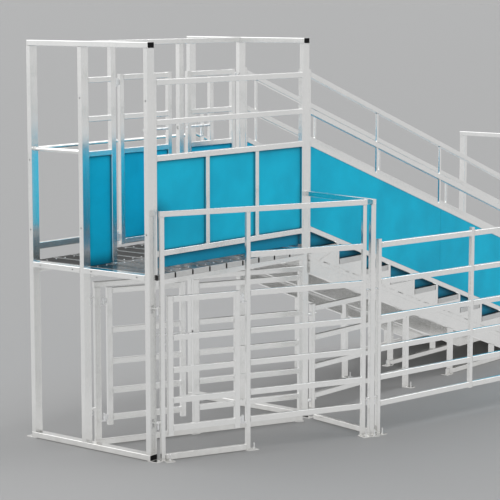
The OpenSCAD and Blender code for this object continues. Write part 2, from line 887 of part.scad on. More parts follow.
// Pressed risers: trays that are open towards the space under the treads
module ramp_risers() {
    color(steel)
        for (k = [0 : steps - 1]) {
            low = k < steps - 1 ? nose_z(k + 1) - plank_t : ground;
            tall = nose_z(k) - low;
            deep = width + 2 * plank_over;
            translate([nose_x(k) - riser_t, -plank_over, low])
                difference() {
                    cube([riser_t, deep, tall]);
                    translate([-cut, plate_t, plate_t])
                        cube([riser_t - plate_t + cut, deep - 2 * plate_t, tall - 2 * plate_t]);
                }
        }
}

// Legs under the stringers, cut to the slope
module ramp_legs() {
    color(steel)
        for (i = [0 : len(leg_list) - 1], y = lines)
            intersection() {
                tube_z([leg_list[i] - leg_w / 2, y + (post_y - leg_w) / 2,
                    i == 0 ? ground : ground + beam_h], leg_w, leg_w, deck_h);
                slope_sheet(leg_list[i] - leg_w, leg_list[i] + leg_w, -deck_h,
                    -stringer_drop - channel_v - weld_gap, y - post_y, 3 * post_y);
            }
}

// Ground beams from the second leg to the place where the stringers meet the ground
module ramp_sills() {
    x0 = leg_list[1] - leg_w / 2;
    x1 = x_ground - 2 * beam_h * going / rise;
    color(steel)
        for (y = lines)
            tube_x([x0, y + (post_y - leg_w) / 2, ground],
                max(x1 - x0, leg_list[len(leg_list) - 1] + leg_w - x0), leg_w, beam_h);
}

// Wall down the slope: an end stile and four rails, stiles above the panels, and stiles behind them
panel_in = 4;
module slope_frame(y, stiles) {
    behind = panel_in + panel_t + panel_gap;
    y_stile = y + (post_y - ramp_stile) / 2;
    tube_z([x_land + weld_gap, y + wall_in, deck_h], end_stile_w - weld_gap, wall_tube,
        rail_top + stile_over);
    for (top = slope_tops)
        slope_tube(x_rails, x_foot, top, y + wall_in, wall_tube, wall_tube);
    for (x = stiles, i = [1, 2])
        slope_stile(x, slope_tops[i], slope_tops[i + 1] - rail_v, y_stile, ramp_stile, ramp_stile);
    for (x = slope_stiles)
        slope_stile(x, slope_tops[0], slope_tops[1] - rail_v, y + wall_in + behind,
            wall_tube, wall_tube - behind);
}

// Two sheets on each wall, which meet at the end of the upper section
module slope_panels(y) {
    edges = [x_rails, x_section, x_foot];
    for (i = [0, 1])
        slope_sheet(edges[i] + panel_gap, edges[i + 1] - panel_gap, slope_tops[0] + panel_gap,
            slope_tops[1] - rail_v - panel_gap, y + wall_in + panel_in, panel_t);
}

// Kick plates that close the triangles between the treads and the lower rail
module slope_kick(y) {
    for (k = [0 : steps - 1]) {
        x0 = (k == 0 ? x_rails : nose_x(k - 1)) + panel_gap;
        z0 = nose_z(k) + panel_gap;
        x1 = nose_x(k) - (z0 - nose_z(k) + panel_gap) * going / rise;
        translate([0, y + kick_in + panel_t, 0])
            rotate([90, 0, 0])
                linear_extrude(panel_t)
                    polygon([[x0, z0], [x1, z0], [x0, nose(x0) - panel_gap]]);
    }
}

module ramp_near_frame() {
    color(steel)
        slope_frame(0, slope_stiles);
}

module ramp_near_panels() {
    color(sheet_blue)
        slope_panels(0);
}

module ramp_near_kick() {
    color(sheet_blue)
        slope_kick(0);
}

module ramp_inner_frame() {
    color(steel)
        slope_frame(y_mid, concat([x_land + inner_stile], slope_stiles));
}

module ramp_inner_panels() {
    color(sheet_blue)
        slope_panels(y_mid);
}

module ramp_inner_kick() {
    color(sheet_blue)
        slope_kick(y_mid);
}

// Hand rail of the operator's steps, on posts that stand on the treads
module ramp_hand_rail() {
    top = hand_rail_h + guard_d / 2 - meet;
    y = y_far + post_y / 2;
    color(steel) {
        intersection() {
            translate([x_land, y, nose(x_land) + top - guard_d / 2 / cos(slope)])
                rotate([0, slope, 0])
                    translate([-guard_d, 0, 0])
                        rotate([90, 0, 90])
                            linear_extrude((x_foot - x_land) / cos(slope) + 2 * guard_d)
                                ring(guard_d);
            x_space(x_land + weld_gap, x_foot - weld_gap, y - guard_d / 2, guard_d);
        }
        for (k = [2 : 3 : steps - 1]) {
            x = nose_x(k) - going / 2;
            intersection() {
                translate([x, y, nose_z(k) + weld_gap])
                    linear_extrude(hand_rail_h)
                        ring(guard_d);
                slope_sheet(x - guard_d, x + guard_d, -2 * going, top - guard_d / cos(slope) - weld_gap,
                    y - guard_d, 2 * guard_d);
            }
        }
    }
}

// Portal at the foot of the ramp
module foot_portal() {
    y0 = post_y / 2 - foot_post_y / 2;
    color(steel) {
        for (y = lines)
            tube_z([x_foot, y + y0, ground], post_y, foot_post_y, foot_h - beam_h - ground);
        tube_y([x_foot, y0, foot_h - beam_h], post_y, width - 2 * y0, beam_h);
    }
}

// Inner wall of the race: posts and sill under a top beam
module race_inner_frame() {
    post_d = race_d;
    under = inner_h - beam_h - ground - beam_h;
    color(steel)
        in_race_inner() {
            tube_x([0, -post_d / 2, ground], inner_len, post_d, beam_h);
            tube_x([0, -post_d / 2, inner_h - beam_h], inner_len, post_d, beam_h);
            tube_z([0, -post_d / 2, ground + beam_h], gate_post_w, post_d, under);
            difference() {
                tube_z([latch_c, -post_d / 2, ground + beam_h], gate_post_w, post_d, under);
                translate([latch_c - cut, 0, bolt_c_z])
                    rotate([0, 90, 0])
                        cylinder(d = bolt_d + 2 * latch_clear, h = gate_post_w + 2 * cut);
            }
            tube_z([inner_len - race_w, -post_d / 2, ground + beam_h], race_w, post_d, under);
        }
}

module race_hurdle() {
    color(steel)
        in_race_inner()
            for (top = inner_rails)
                tube_x([hurdle_s, -race_d / 2, min(top, inner_h - beam_h - weld_gap) - race_rail],
                    hurdle_w - race_w, race_d, race_rail);
}

// Front panel: three stiles under a top beam, with a sill below the man gate
module race_front_frame() {
    color(steel)
        in_race_front() {
            for (s = [0, mid_s, right_s])
                tube_z([s, -race_d / 2, ground], race_w, race_d, front_h - beam_h - ground);
            tube_x([0, -race_d / 2, front_h - beam_h], front_len, race_d, beam_h);
            tube_x([race_w, -race_d / 2, ground], opening_d, race_d, beam_h);
        }
}

module race_front_rails() {
    color(steel)
        in_race_front()
            for (top = race_rails)
                tube_x([mid_s + race_w, -race_d / 2, top - race_rail], front_bay, race_d, race_rail);
}

// Entry frame: a post, and a beam and a sill that run to the head portal
module entry_frame() {
    color(steel) {
        translate(entry_p)
            rotate(-skew)
                tube_z([-entry_w / 2, -entry_w / 2, ground], entry_w, entry_w, front_h - beam_h - ground);
        intersection() {
            translate(entry_p)
                rotate(entry_a)
                    tube_x([-entry_w / 2, -race_d / 2, front_h - beam_h], entry_l + post_x, race_d, beam_h);
            translate([0, -2 * deck_h - weld_gap, 0])
                cube([x_foot, 2 * deck_h, portal_h]);
        }
        difference() {
            translate(entry_p)
                rotate(entry_a)
                    tube_x([0, -race_d / 2, ground], entry_l - 2 * foot_out, race_d, beam_h);
            translate([entry_p.x, entry_p.y, portal_h / 2])
                rotate(-skew)
                    cube([entry_w + 2 * weld_gap, entry_w + 2 * weld_gap, portal_h], center = true);
        }
    }
}

// Wing fence of two bays: the middle stile hangs clear of the ground
module wing_fence() {
    color(steel)
        in_wing() {
            for (s = [0, wing_end])
                tube_z([s, -race_d / 2, ground], race_w, race_d, wing_h - ground);
            tube_z([wing_mid, -race_d / 2, wing_lift], race_w, race_d, wing_h - wing_lift);
            for (top = wing_rails, s = [race_w, wing_mid + race_w])
                tube_x([s, -race_d / 2, top - race_rail], wing_bay, race_d, race_rail);
        }
}

module foot_plates() {
    color(steel)
        for (f = concat(open_feet, stud_feet))
            foot_plate(f[0], f[1]);
}

module anchor_studs() {
    color(zinc)
        for (f = stud_feet)
            anchor_stud(f[0], f[1]);
}

module connector_lugs() {
    color(steel)
        for (c = connectors, z = connector_z) {
            lug(c[0], c[1], c[2], z);
            lug(c[0], c[3], c[4], z + strap_t + weld_gap);
        }
}

// Drop pins with a washer head that rests on the upper lug
module connector_pins() {
    color(zinc)
        for (c = connectors, z = connector_z)
            translate([c[0].x, c[0].y, z + 2 * strap_t + 2 * weld_gap]) {
                cylinder(r = lug_r - cut, h = strap_t / 2);
                translate([0, 0, -drop_pin_l])
                    cylinder(d = drop_pin_d, h = drop_pin_l + cut);
            }
}

// Heights of the hinges on the upper gates and the race gates
upper_hinges = [leaf_z + hinge_in, leaf_top - hinge_in];
inner_hinges = [race_leaf_up - race_drop + hinge_in, leaf_c_head - race_hinge_in];
man_hinges = [race_leaf_up + hinge_in, race_5 - hinge_in];

// Fixed halves of the hinges, each a bracket with a standing pin
module hinge_brackets() {
    color(zinc) {
        for (z = upper_hinges) {
            translate(hinge_a)
                hinge_bracket(z);
            translate(hinge_b)
                mirror([1, 0, 0])
                    hinge_bracket(z);
        }
        for (z = inner_hinges)
            in_race_inner()
                translate([hinge_c, 0])
                    hinge_bracket(z);
        for (z = man_hinges)
            in_race_front()
                translate([hinge_d, 0])
                    mirror([1, 0, 0])
                        hinge_bracket(z);
    }
}

// Places that the gates are drawn in, each with its hinge axis at 0
module in_gate_a() {
    translate(hinge_a)
        children();
}

module in_gate_b() {
    translate(hinge_b)
        mirror([1, 0, 0])
            children();
}

module in_race_gate() {
    in_race_inner()
        translate([hinge_c, 0])
            children();
}

module in_man_gate() {
    in_race_front()
        translate([hinge_d, 0])
            mirror([1, 0, 0])
                children();
}

module upper_leaf(w) {
    translate([hinge_gap / 2, 0])
        bolted_leaf(w, leaf_z, leaf_top, leaf_rails, wall_tube, bolt_z,
            deck_h + rail_panel, deck_h + rail_mid - wall_tube);
}

module upper_panel(w) {
    translate([hinge_gap / 2, 0])
        panel(gate_w, w - gate_w, leaf_rails[0], leaf_rails[1] - wall_tube, -panel_t / 2);
}

module gate_a_frame() {
    color(steel)
        in_gate_a()
            upper_leaf(leaf_a_w);
}

module gate_a_panel() {
    color(sheet_blue)
        in_gate_a()
            upper_panel(leaf_a_w);
}

module gate_a_sleeves() {
    color(zinc)
        in_gate_a()
            for (z = upper_hinges)
                hinge_sleeve(z);
}

module bolt_a() {
    color(zinc)
        in_gate_a()
            translate([hinge_gap / 2, 0])
                slide_bolt(leaf_a_w, bolt_z, throw_a);
}

// The second gate also has a stile in the middle of its open bars
module gate_b_frame() {
    mid = min((leaf_b_w - gate_w) / 2, leaf_b_w - guide_back - 3 * gate_w);
    color(steel)
        in_gate_b() {
            upper_leaf(leaf_b_w);
            translate([hinge_gap / 2, 0])
                difference() {
                    for (i = [1, 2])
                        tube_z([mid, -gate_d / 2, leaf_rails[i]], gate_w, gate_d,
                            leaf_rails[i + 1] - wall_tube - leaf_rails[i]);
                    bolt_hole(leaf_b_w, bolt_z, bolt_d / 2 + bolt_clear);
                }
        }
}

module gate_b_panel() {
    color(sheet_blue)
        in_gate_b()
            upper_panel(leaf_b_w);
}

module gate_b_sleeves() {
    color(zinc)
        in_gate_b()
            for (z = upper_hinges)
                hinge_sleeve(z);
}

module bolt_b() {
    color(zinc)
        in_gate_b()
            translate([hinge_gap / 2, 0])
                slide_bolt(leaf_b_w, bolt_z, throw_b);
}

module race_gate_frame() {
    color(steel)
        in_race_gate()
            translate([hinge_gap / 2, 0])
                bolted_leaf(leaf_c_w, race_leaf_up - race_drop, leaf_c_head, leaf_c_rails, race_rail,
                    bolt_c_z, inner_rails[2], inner_rails[3] - race_rail);
}

module race_gate_sleeves() {
    color(zinc)
        in_race_gate()
            for (z = inner_hinges)
                hinge_sleeve(z);
}

module bolt_c() {
    color(zinc)
        in_race_gate()
            translate([hinge_gap / 2, 0])
                slide_bolt(leaf_c_w, bolt_c_z, throw_c);
}

module man_gate_frame() {
    color(steel)
        in_man_gate()
            translate([hinge_gap / 2, 0])
                leaf_frame(leaf_d_w, race_leaf_up, race_5, man_rails, race_rail);
}

module man_gate_sleeves() {
    color(zinc)
        in_man_gate()
            for (z = man_hinges)
                hinge_sleeve(z);
}

// The origin is the middle of the platform's four open anchor holes, on the ground
translate(-origin) {
    truck_portal();
    truck_deck_beams();
    head_portal();
    head_deck_beams();
    tie_beam();
    inner_posts();
    beam_plugs();
    deck_beams();
    deck_planks();
    near_wall_frame();
    near_wall_panels();
    near_wall_kick();
    inner_bay_frame();
    inner_bay_panels();
    walkway_guard();
    safety_bar();
    ramp_stringers();
    ramp_cheeks();
    ramp_treads();
    ramp_risers();
    ramp_legs();
    ramp_sills();
    ramp_near_frame();
    ramp_near_panels();
    ramp_near_kick();
    ramp_inner_frame();
    ramp_inner_panels();
    ramp_inner_kick();
    ramp_hand_rail();
    foot_portal();
    race_inner_frame();
    race_hurdle();
    race_front_frame();
    race_front_rails();
    entry_frame();
    wing_fence();
    foot_plates();
    anchor_studs();
    connector_lugs();
    connector_pins();
    hinge_brackets();
    gate_a_frame();
    gate_a_panel();
    gate_a_sleeves();
    bolt_a();
    gate_b_frame();
    gate_b_panel();
    gate_b_sleeves();
    bolt_b();
    race_gate_frame();
    race_gate_sleeves();
    bolt_c();
    man_gate_frame();
    man_gate_sleeves();
}
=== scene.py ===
# %% [markdown]
# Dressing a two-level livestock loading ramp.
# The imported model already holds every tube, panel, plank and hinge at its real size. This lesson
# gives those pieces their finishes and adds what a workshop leaves on them: weld beads, end caps,
# grip ribs and screws. It also adds one low hurdle under the ramp. We load the frame first, because
# every later piece takes its place from it.

# %% Load the frame
import json
import math

import bmesh
import bpy
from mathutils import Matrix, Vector
from mathutils.bvhtree import BVHTree

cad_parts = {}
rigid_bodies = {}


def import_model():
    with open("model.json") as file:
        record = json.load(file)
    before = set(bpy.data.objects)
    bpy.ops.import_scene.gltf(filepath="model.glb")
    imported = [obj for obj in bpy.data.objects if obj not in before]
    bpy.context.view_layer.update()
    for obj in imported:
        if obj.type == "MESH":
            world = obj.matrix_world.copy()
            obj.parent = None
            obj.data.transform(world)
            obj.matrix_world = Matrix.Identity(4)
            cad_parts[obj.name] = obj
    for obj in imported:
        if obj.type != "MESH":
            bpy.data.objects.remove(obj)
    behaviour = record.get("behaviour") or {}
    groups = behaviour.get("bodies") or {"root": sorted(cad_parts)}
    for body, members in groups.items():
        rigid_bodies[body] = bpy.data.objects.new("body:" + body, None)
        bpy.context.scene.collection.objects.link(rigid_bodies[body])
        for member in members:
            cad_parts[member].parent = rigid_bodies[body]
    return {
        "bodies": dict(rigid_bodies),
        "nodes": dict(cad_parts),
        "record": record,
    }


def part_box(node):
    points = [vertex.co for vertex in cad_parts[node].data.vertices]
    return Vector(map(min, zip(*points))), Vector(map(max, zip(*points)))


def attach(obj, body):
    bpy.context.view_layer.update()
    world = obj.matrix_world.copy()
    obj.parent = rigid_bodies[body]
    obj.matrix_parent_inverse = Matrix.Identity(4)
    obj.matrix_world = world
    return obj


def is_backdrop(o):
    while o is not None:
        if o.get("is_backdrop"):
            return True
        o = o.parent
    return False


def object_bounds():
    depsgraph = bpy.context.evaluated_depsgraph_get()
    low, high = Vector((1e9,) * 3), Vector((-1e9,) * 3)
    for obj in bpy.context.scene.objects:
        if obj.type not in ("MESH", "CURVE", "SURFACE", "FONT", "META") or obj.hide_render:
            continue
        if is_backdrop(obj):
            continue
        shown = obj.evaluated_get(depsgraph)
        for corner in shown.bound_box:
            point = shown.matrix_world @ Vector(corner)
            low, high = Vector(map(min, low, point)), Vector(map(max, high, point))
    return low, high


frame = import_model()
cad_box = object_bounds()
nodes = frame["nodes"]
scene = bpy.context.scene
slot_of = {part["node"]: part["material_slot"] for part in frame["record"]["subparts"]}
nodes_on = frame["record"]["behaviour"]["bodies"]
body_of = {name: body for body, names in nodes_on.items() for name in names}

# %% [markdown]
# The camera stands well back with a long lens, so the uprights stay nearly parallel.
# A wide lens close by would fill the frame too, but the near gate would swell and the ramp would
# shrink. The place and the aim were found once, by matching the straight edges of the tubes.

# %% Camera
IMAGE_SIDE = 500
FOCAL_PIXELS = 1832
SENSOR_MM = 36.0
CAMERA_PLACE = (-12.8415, -11.1935, 4.016)
CAMERA_PITCH = math.radians(7.773)
CAMERA_HEADING = math.radians(-51.365)
CAMERA_REACH = 5000

camera_data = bpy.data.cameras.new("camera")
camera_data.sensor_width = SENSOR_MM
camera_data.lens = SENSOR_MM * FOCAL_PIXELS / IMAGE_SIDE
camera_data.clip_end = CAMERA_REACH
camera = bpy.data.objects.new("camera", camera_data)
camera.location = CAMERA_PLACE
camera.rotation_euler = (math.pi / 2 - CAMERA_PITCH, 0, CAMERA_HEADING)
scene.collection.objects.link(camera)
scene.camera = camera
print("camera: lens", round(camera_data.lens, 1), "mm")

# %% [markdown]
# Shader nodes are wired by code here, so two short helpers save a lot of lines.
# The first adds a node and fills its sockets, with a number or with a link from another node.
# The second opens a node group with named sockets, which several materials can then share.


# %% Helpers for node trees
def add(tree, kind, inputs=None, **settings):
    """A new node, with its inputs set to values or linked to sockets."""
    made = tree.nodes.new(kind)
    for key, value in settings.items():
        setattr(made, key, value)
    for key, value in (inputs or {}).items():
        if isinstance(value, bpy.types.NodeSocket):
            tree.links.new(value, made.inputs[key])
        else:
            made.inputs[key].default_value = value
    return made


def open_group(name, kind, inputs, outputs):
    """A new node group, with the sockets of its input and output nodes."""
    tree = bpy.data.node_groups.new(name, kind)
    for label, socket_type, value in inputs:
        socket = tree.interface.new_socket(label, in_out="INPUT", socket_type=socket_type)
        if value is not None:
            socket.default_value = value
    for label, socket_type in outputs:
        tree.interface.new_socket(label, in_out="OUTPUT", socket_type=socket_type)
    return tree, tree.nodes.new("NodeGroupInput").outputs, tree.nodes.new("NodeGroupOutput").inputs


NUMBER = "NodeSocketFloat"
print("helpers: add, open_group")

# %% [markdown]
# The stage is a plain pale floor that runs to the horizon. Bright metal shows what stands round it,
# so reflections get a pale, even backdrop in place of the floor. The Light Path node tells a mirrored
# view from a direct one, and seen directly the floor keeps its shadows.

# %% Floor
FLOOR_REACH = 1500.0
FLOOR_COLOUR = (0.31, 0.31, 0.31, 1)
FLOOR_ROUGHNESS = 0.9
BACKDROP_COLOUR = (0.72, 0.72, 0.72, 1)
REFLECTED = ("Is Glossy Ray", "Is Transmission Ray")


def ray_share(tree, kinds):
    """One for the named kinds of light ray, and nought for the others."""
    rays = add(tree, "ShaderNodeLightPath").outputs
    share = rays[kinds[0]]
    for kind in kinds[1:]:
        share = add(tree, "ShaderNodeMath", {0: share, 1: rays[kind]}, operation="MAXIMUM").outputs[0]
    return share


floor_mesh = bpy.data.meshes.new("floor")
corners = [(x * FLOOR_REACH, y * FLOOR_REACH, 0) for x, y in ((-1, -1), (1, -1), (1, 1), (-1, 1))]
floor_mesh.from_pydata(corners, [], [(0, 1, 2, 3)])
floor = bpy.data.objects.new("floor", floor_mesh)
scene.collection.objects.link(floor)
floor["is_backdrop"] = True

floor_material = bpy.data.materials.new("pale_floor")
floor_material.use_nodes = True
floor_shader = floor_material.node_tree.nodes["Principled BSDF"]
floor_shader.inputs["Base Color"].default_value = FLOOR_COLOUR
floor_shader.inputs["Roughness"].default_value = FLOOR_ROUGHNESS
floor_tree = floor_material.node_tree
floor_glow = add(floor_tree, "ShaderNodeEmission", {"Color": BACKDROP_COLOUR, "Strength": 1.0})
floor_mix = add(floor_tree, "ShaderNodeMixShader", {0: ray_share(floor_tree, REFLECTED),
                                                    1: floor_shader.outputs[0], 2: floor_glow.outputs[0]})
floor_tree.links.new(floor_mix.outputs[0], floor_tree.nodes["Material Output"].inputs["Surface"])
floor_mesh.materials.append(floor_material)
print("stage: floor", 2 * FLOOR_REACH, "m wide")

# %% [markdown]
# An even, pale sky lights the ramp from all round. The camera sees it as a plain grey, and
# reflections get the same backdrop as on the floor, so no horizon is mirrored in the tubes.

# %% Sky
SKY_COLOUR = (0.97, 0.985, 1.0, 1)
SKY_STRENGTH = 0.60
HORIZON_COLOUR = (0.462, 0.462, 0.462, 1)

world = bpy.data.worlds.new("studio")
world.use_nodes = True
scene.world = world
sky = world.node_tree
sky_light = sky.nodes["Background"]
sky_light.inputs["Color"].default_value = SKY_COLOUR
sky_light.inputs["Strength"].default_value = SKY_STRENGTH
backdrop = add(sky, "ShaderNodeBackground", {"Color": BACKDROP_COLOUR, "Strength": 1.0})
horizon = add(sky, "ShaderNodeBackground", {"Color": HORIZON_COLOUR, "Strength": 1.0})
mirrored = add(sky, "ShaderNodeMixShader", {0: ray_share(sky, REFLECTED),
                                            1: sky_light.outputs[0], 2: backdrop.outputs[0]})
seen = add(sky, "ShaderNodeMixShader", {0: ray_share(sky, ("Is Camera Ray",)),
                                        1: mirrored.outputs[0], 2: horizon.outputs[0]})
sky.links.new(seen.outputs[0], sky.nodes["World Output"].inputs["Surface"])
scene.view_settings.view_transform = "Standard"
print("sky: strength", SKY_STRENGTH)

# %% [markdown]
# Very wide suns stand in for soft boxes: a key from the truck side, a fill from the other end, a low
# rim that the truck faces of the tubes reflect, and a back light for the inner faces of the walls,
# whose blue the tubes mirror. Suns reach the whole seven metres of ramp with one strength, which a
# lamp close by would not, and their wide angle keeps the shadows soft. Only the lane on the deck is
# too narrow for them, so a long lamp hangs over it.


# %% Lights
def soft_sun(name, towards, strength, angle):
    data = bpy.data.lights.new(name, "SUN")
    data.energy = strength
    data.angle = math.radians(angle)
    lamp = bpy.data.objects.new(name, data)
    lamp.rotation_euler = Vector(towards).to_track_quat("-Z", "Y").to_euler()
    scene.collection.objects.link(lamp)


soft_sun("key", towards=(0.72, 0.55, -0.62), strength=0.65, angle=50)
soft_sun("fill", towards=(-0.55, 0.36, -0.70), strength=0.75, angle=35)
soft_sun("rim", towards=(0.62, -0.70, -0.32), strength=0.32, angle=60)
soft_sun("back", towards=(0.15, -0.68, -0.72), strength=1.55, angle=70)


def lane_lamp(place, target, width, depth, power):
    data = bpy.data.lights.new("lane", "AREA")
    data.shape = "RECTANGLE"
    data.size = width
    data.size_y = depth
    data.energy = power
    lamp = bpy.data.objects.new("lane", data)
    lamp.location = place
    lamp.rotation_euler = (Vector(target) - Vector(place)).to_track_quat("-Z", "Y").to_euler()
    lamp.visible_glossy = False
    scene.collection.objects.link(lamp)


lane_lamp(place=(0, 0.30, 3.30), target=(0, -0.70, 2.20), width=2.0, depth=0.4, power=16)
print("lights:", sorted(light.name for light in bpy.data.lights))

# %% [markdown]
# Galvanised steel is never one grey: the zinc freezes into crystals, called spangle.
# A Voronoi texture gives every crystal its own tone, and slow noise lets whole stretches of a tube
# drift lighter or darker. It reads Object coordinates, so a pattern runs on over a whole node.


# %% Shader group: spangle
def make_spangle():
    tree, given, result = open_group(
        "Spangle", "ShaderNodeTree",
        [("Crystals", NUMBER, 45.0), ("Clouds", NUMBER, 2.5)],
        [("Tone", NUMBER), ("Height", NUMBER)])
    where = add(tree, "ShaderNodeTexCoord").outputs["Object"]
    cells = add(tree, "ShaderNodeTexVoronoi", {"Vector": where, "Scale": given["Crystals"]})
    cell_tone = add(tree, "ShaderNodeSeparateColor", {"Color": cells.outputs["Color"]})
    clouds = add(tree, "ShaderNodeTexNoise", {"Vector": where, "Scale": given["Clouds"], "Detail": 4.0})
    tone = add(tree, "ShaderNodeMix", {
        "Factor": 0.8, "A": cell_tone.outputs["Red"], "B": clouds.outputs[0]}, data_type="FLOAT")
    ripple = add(tree, "ShaderNodeTexNoise", {"Vector": where, "Scale": 24.0, "Detail": 1.0})
    tree.links.new(tone.outputs[0], result["Tone"])
    tree.links.new(ripple.outputs[0], result["Height"])
    return tree


spangle = make_spangle()
print("group:", spangle.name)

# %% [markdown]
# A ramp for animals gathers a little dust, most of it low down where mud splashes.
# The mask below fades out with height above the ground and is broken up by noise. It only says
# where the dust lies, and each material decides how much of it shows.


# %% Shader group: splash dust
def make_dust():
    tree, given, result = open_group(
        "Splash dust", "ShaderNodeTree",
        [("Reach", NUMBER, 0.5), ("Base", NUMBER, 0.0)],
        [("Mask", NUMBER)])
    where = add(tree, "ShaderNodeTexCoord").outputs["Object"]
    height = add(tree, "ShaderNodeSeparateXYZ", {"Vector": where}).outputs["Z"]
    share = add(tree, "ShaderNodeMath", {0: height, 1: given["Reach"]}, operation="DIVIDE")
    low = add(tree, "ShaderNodeMath", {0: 1.0, 1: share.outputs[0]}, operation="SUBTRACT", use_clamp=True)
    lowest = add(tree, "ShaderNodeMath", {0: low.outputs[0], 1: 2.0}, operation="POWER")
    amount = add(tree, "ShaderNodeMath", {0: lowest.outputs[0], 1: given["Base"]}, operation="MAXIMUM")
    patches = add(tree, "ShaderNodeTexNoise", {
        "Vector": where, "Scale": 9.0, "Detail": 6.0, "Roughness": 0.65})
    mask = add(tree, "ShaderNodeMath", {0: amount.outputs[0], 1: patches.outputs[0]},
               operation="MULTIPLY", use_clamp=True)
    tree.links.new(mask.outputs[0], result["Mask"])
    return tree


splash_dust = make_dust()
print("group:", splash_dust.name)

# %% [markdown]
# Moulded plastic has a fine skin: extruded sheet is stippled by its rollers, and planks of
# recycled plastic show flow lines along their length. One group makes both, because a noise
# texture that is stretched along one axis turns from stipple into flow lines.


# %% Shader group: moulded skin
def make_skin():
    tree, given, result = open_group(
        "Moulded skin", "ShaderNodeTree",
        [("Grain", "NodeSocketVector", (300.0, 300.0, 300.0)), ("Mottle", NUMBER, 3.0)],
        [("Tone", NUMBER), ("Height", NUMBER)])
    where = add(tree, "ShaderNodeTexCoord").outputs["Object"]
    stretched = add(tree, "ShaderNodeVectorMath", {0: where, 1: given["Grain"]}, operation="MULTIPLY")
    grain = add(tree, "ShaderNodeTexNoise", {"Vector": stretched.outputs[0], "Scale": 1.0, "Detail": 3.0})
    mottle = add(tree, "ShaderNodeTexNoise", {"Vector": where, "Scale": given["Mottle"], "Detail": 5.0})
    tone = add(tree, "ShaderNodeMix", {"Factor": 0.6, "A": grain.outputs[0], "B": mottle.outputs[0]},
               data_type="FLOAT")
    tree.links.new(tone.outputs[0], result["Tone"])
    tree.links.new(grain.outputs[0], result["Height"])
    return tree


moulded_skin = make_skin()
print("group:", moulded_skin.name)

# %% [markdown]
# This is painted shade: a dark border is painted along the frame round each panel, where the frame
# shades the sheet. The Ambient Occlusion node measures how closed in a point is, so it finds those
# corners on every panel by itself. Painting the border by hand would have to be done again for each
# panel.


# %% Shader group: painted corner shade
def make_corner_shade():
    tree, given, result = open_group(
        "Painted corner shade", "ShaderNodeTree",
        [("Reach", NUMBER, 0.14)],
        [("Mask", NUMBER)])
    openness = add(tree, "ShaderNodeAmbientOcclusion", {"Distance": given["Reach"]}, samples=12)
    mask = add(tree, "ShaderNodeMapRange", {
        "Value": openness.outputs["AO"], "From Min": 0.97, "From Max": 0.50})
    tree.links.new(mask.outputs[0], result["Mask"])
    return tree


painted_corner_shade = make_corner_shade()
print("group:", painted_corner_shade.name)

# %% [markdown]
# Each finish below follows one plan: a group gives a tone, a colour ramp turns it into colour, a Map
# Range node turns it into roughness, and a Bump node raises the skin. Writing that plan once keeps
# the materials short, and each one still has its own values.

# %% Plan of a finish
TONE_LOW = 0.3
TONE_HIGH = 0.7


def ramp_between(tree, tone, dark, light, low=TONE_LOW, high=TONE_HIGH):
    """A colour that goes from dark to light as the tone rises."""
    made = add(tree, "ShaderNodeValToRGB", {"Fac": tone})
    made.color_ramp.elements[0].position = low
    made.color_ramp.elements[0].color = (*dark, 1)
    made.color_ramp.elements[1].position = high
    made.color_ramp.elements[1].color = (*light, 1)
    return made.outputs["Color"]


def start_material(name):
    material = bpy.data.materials.new(name)
    material.use_nodes = True
    return material, material.node_tree, material.node_tree.nodes["Principled BSDF"]


def use_group(tree, group, values=None):
    made = add(tree, "ShaderNodeGroup", node_tree=group)
    for key, value in (values or {}).items():
        made.inputs[key].default_value = value
    return made.outputs


def roughness_from(tree, tone, low, high):
    """A roughness that goes from low to high as the tone rises."""
    made = add(tree, "ShaderNodeMapRange", {
        "Value": tone, "From Min": TONE_LOW, "From Max": TONE_HIGH, "To Min": low, "To Max": high})
    return made.outputs[0]


def raise_skin(tree, shader, height, depth, strength):
    bump = add(tree, "ShaderNodeBump", {"Height": height, "Distance": depth, "Strength": strength})
    tree.links.new(bump.outputs[0], shader.inputs["Normal"])


print("plan: tone, colour, roughness, skin")

# %% [markdown]
# Dust, and the painted shade along the panel frames, lie over a finish as a thin layer. A mask from
# one of the groups says where it lies, and each finish says how much of it may show. The layer is
# mixed into the colour, so a material still has only one shader, which is easier to export than two
# shaders on top of each other.

# %% Layers of dust and painted shade
DUST_COLOUR = (0.30, 0.27, 0.22, 1)
PAINTED_SHADE_COLOUR = (0.004, 0.090, 0.150, 1)


def mix_colours(tree, share, below, above):
    """Two colours mixed by a share that changes over the surface."""
    mixed = add(tree, "ShaderNodeMix", {"Factor": share, "A": below, "B": above}, data_type="RGBA")
    return mixed.outputs[2]


def lay_over(tree, colour, mask, layer, most):
    """A colour under a layer, dust in one use and painted shade in the other, of which the mask shows at
    most a share.
    """
    share = add(tree, "ShaderNodeMath", {0: mask, 1: most}, operation="MULTIPLY")
    return mix_colours(tree, share.outputs[0], colour, layer)


def dust_over(tree, colour, reach, base, most):
    mask = use_group(tree, splash_dust, {"Reach": reach, "Base": base})["Mask"]
    return lay_over(tree, colour, mask, DUST_COLOUR, most)


def painted_shade_over(tree, colour, reach, most):
    mask = use_group(tree, painted_corner_shade, {"Reach": reach})["Mask"]
    return lay_over(tree, colour, mask, PAINTED_SHADE_COLOUR, most)


print("layers: dust and painted shade")

# %% [markdown]
# The frame is pale galvanised tube. It is bright, but a soft image of the blue panels still shows
# on the faces beside them, so the finish is all metal with a satin roughness. A plain white
# paint would be easier, and would lose those reflections.


# %% Galvanised steel
def galvanised_steel(name, dark, light, rough):
    material, tree, shader = start_material(name)
    zinc_skin = use_group(tree, spangle, {"Crystals": 45.0, "Clouds": 2.5})
    colour = ramp_between(tree, zinc_skin["Tone"], dark, light)
    tree.links.new(dust_over(tree, colour, reach=0.45, base=0.0, most=0.45), shader.inputs["Base Color"])
    tree.links.new(roughness_from(tree, zinc_skin["Tone"], *rough), shader.inputs["Roughness"])
    shader.inputs["Metallic"].default_value = 1.0
    raise_skin(tree, shader, zinc_skin["Height"], depth=0.0004, strength=0.15)
    return material


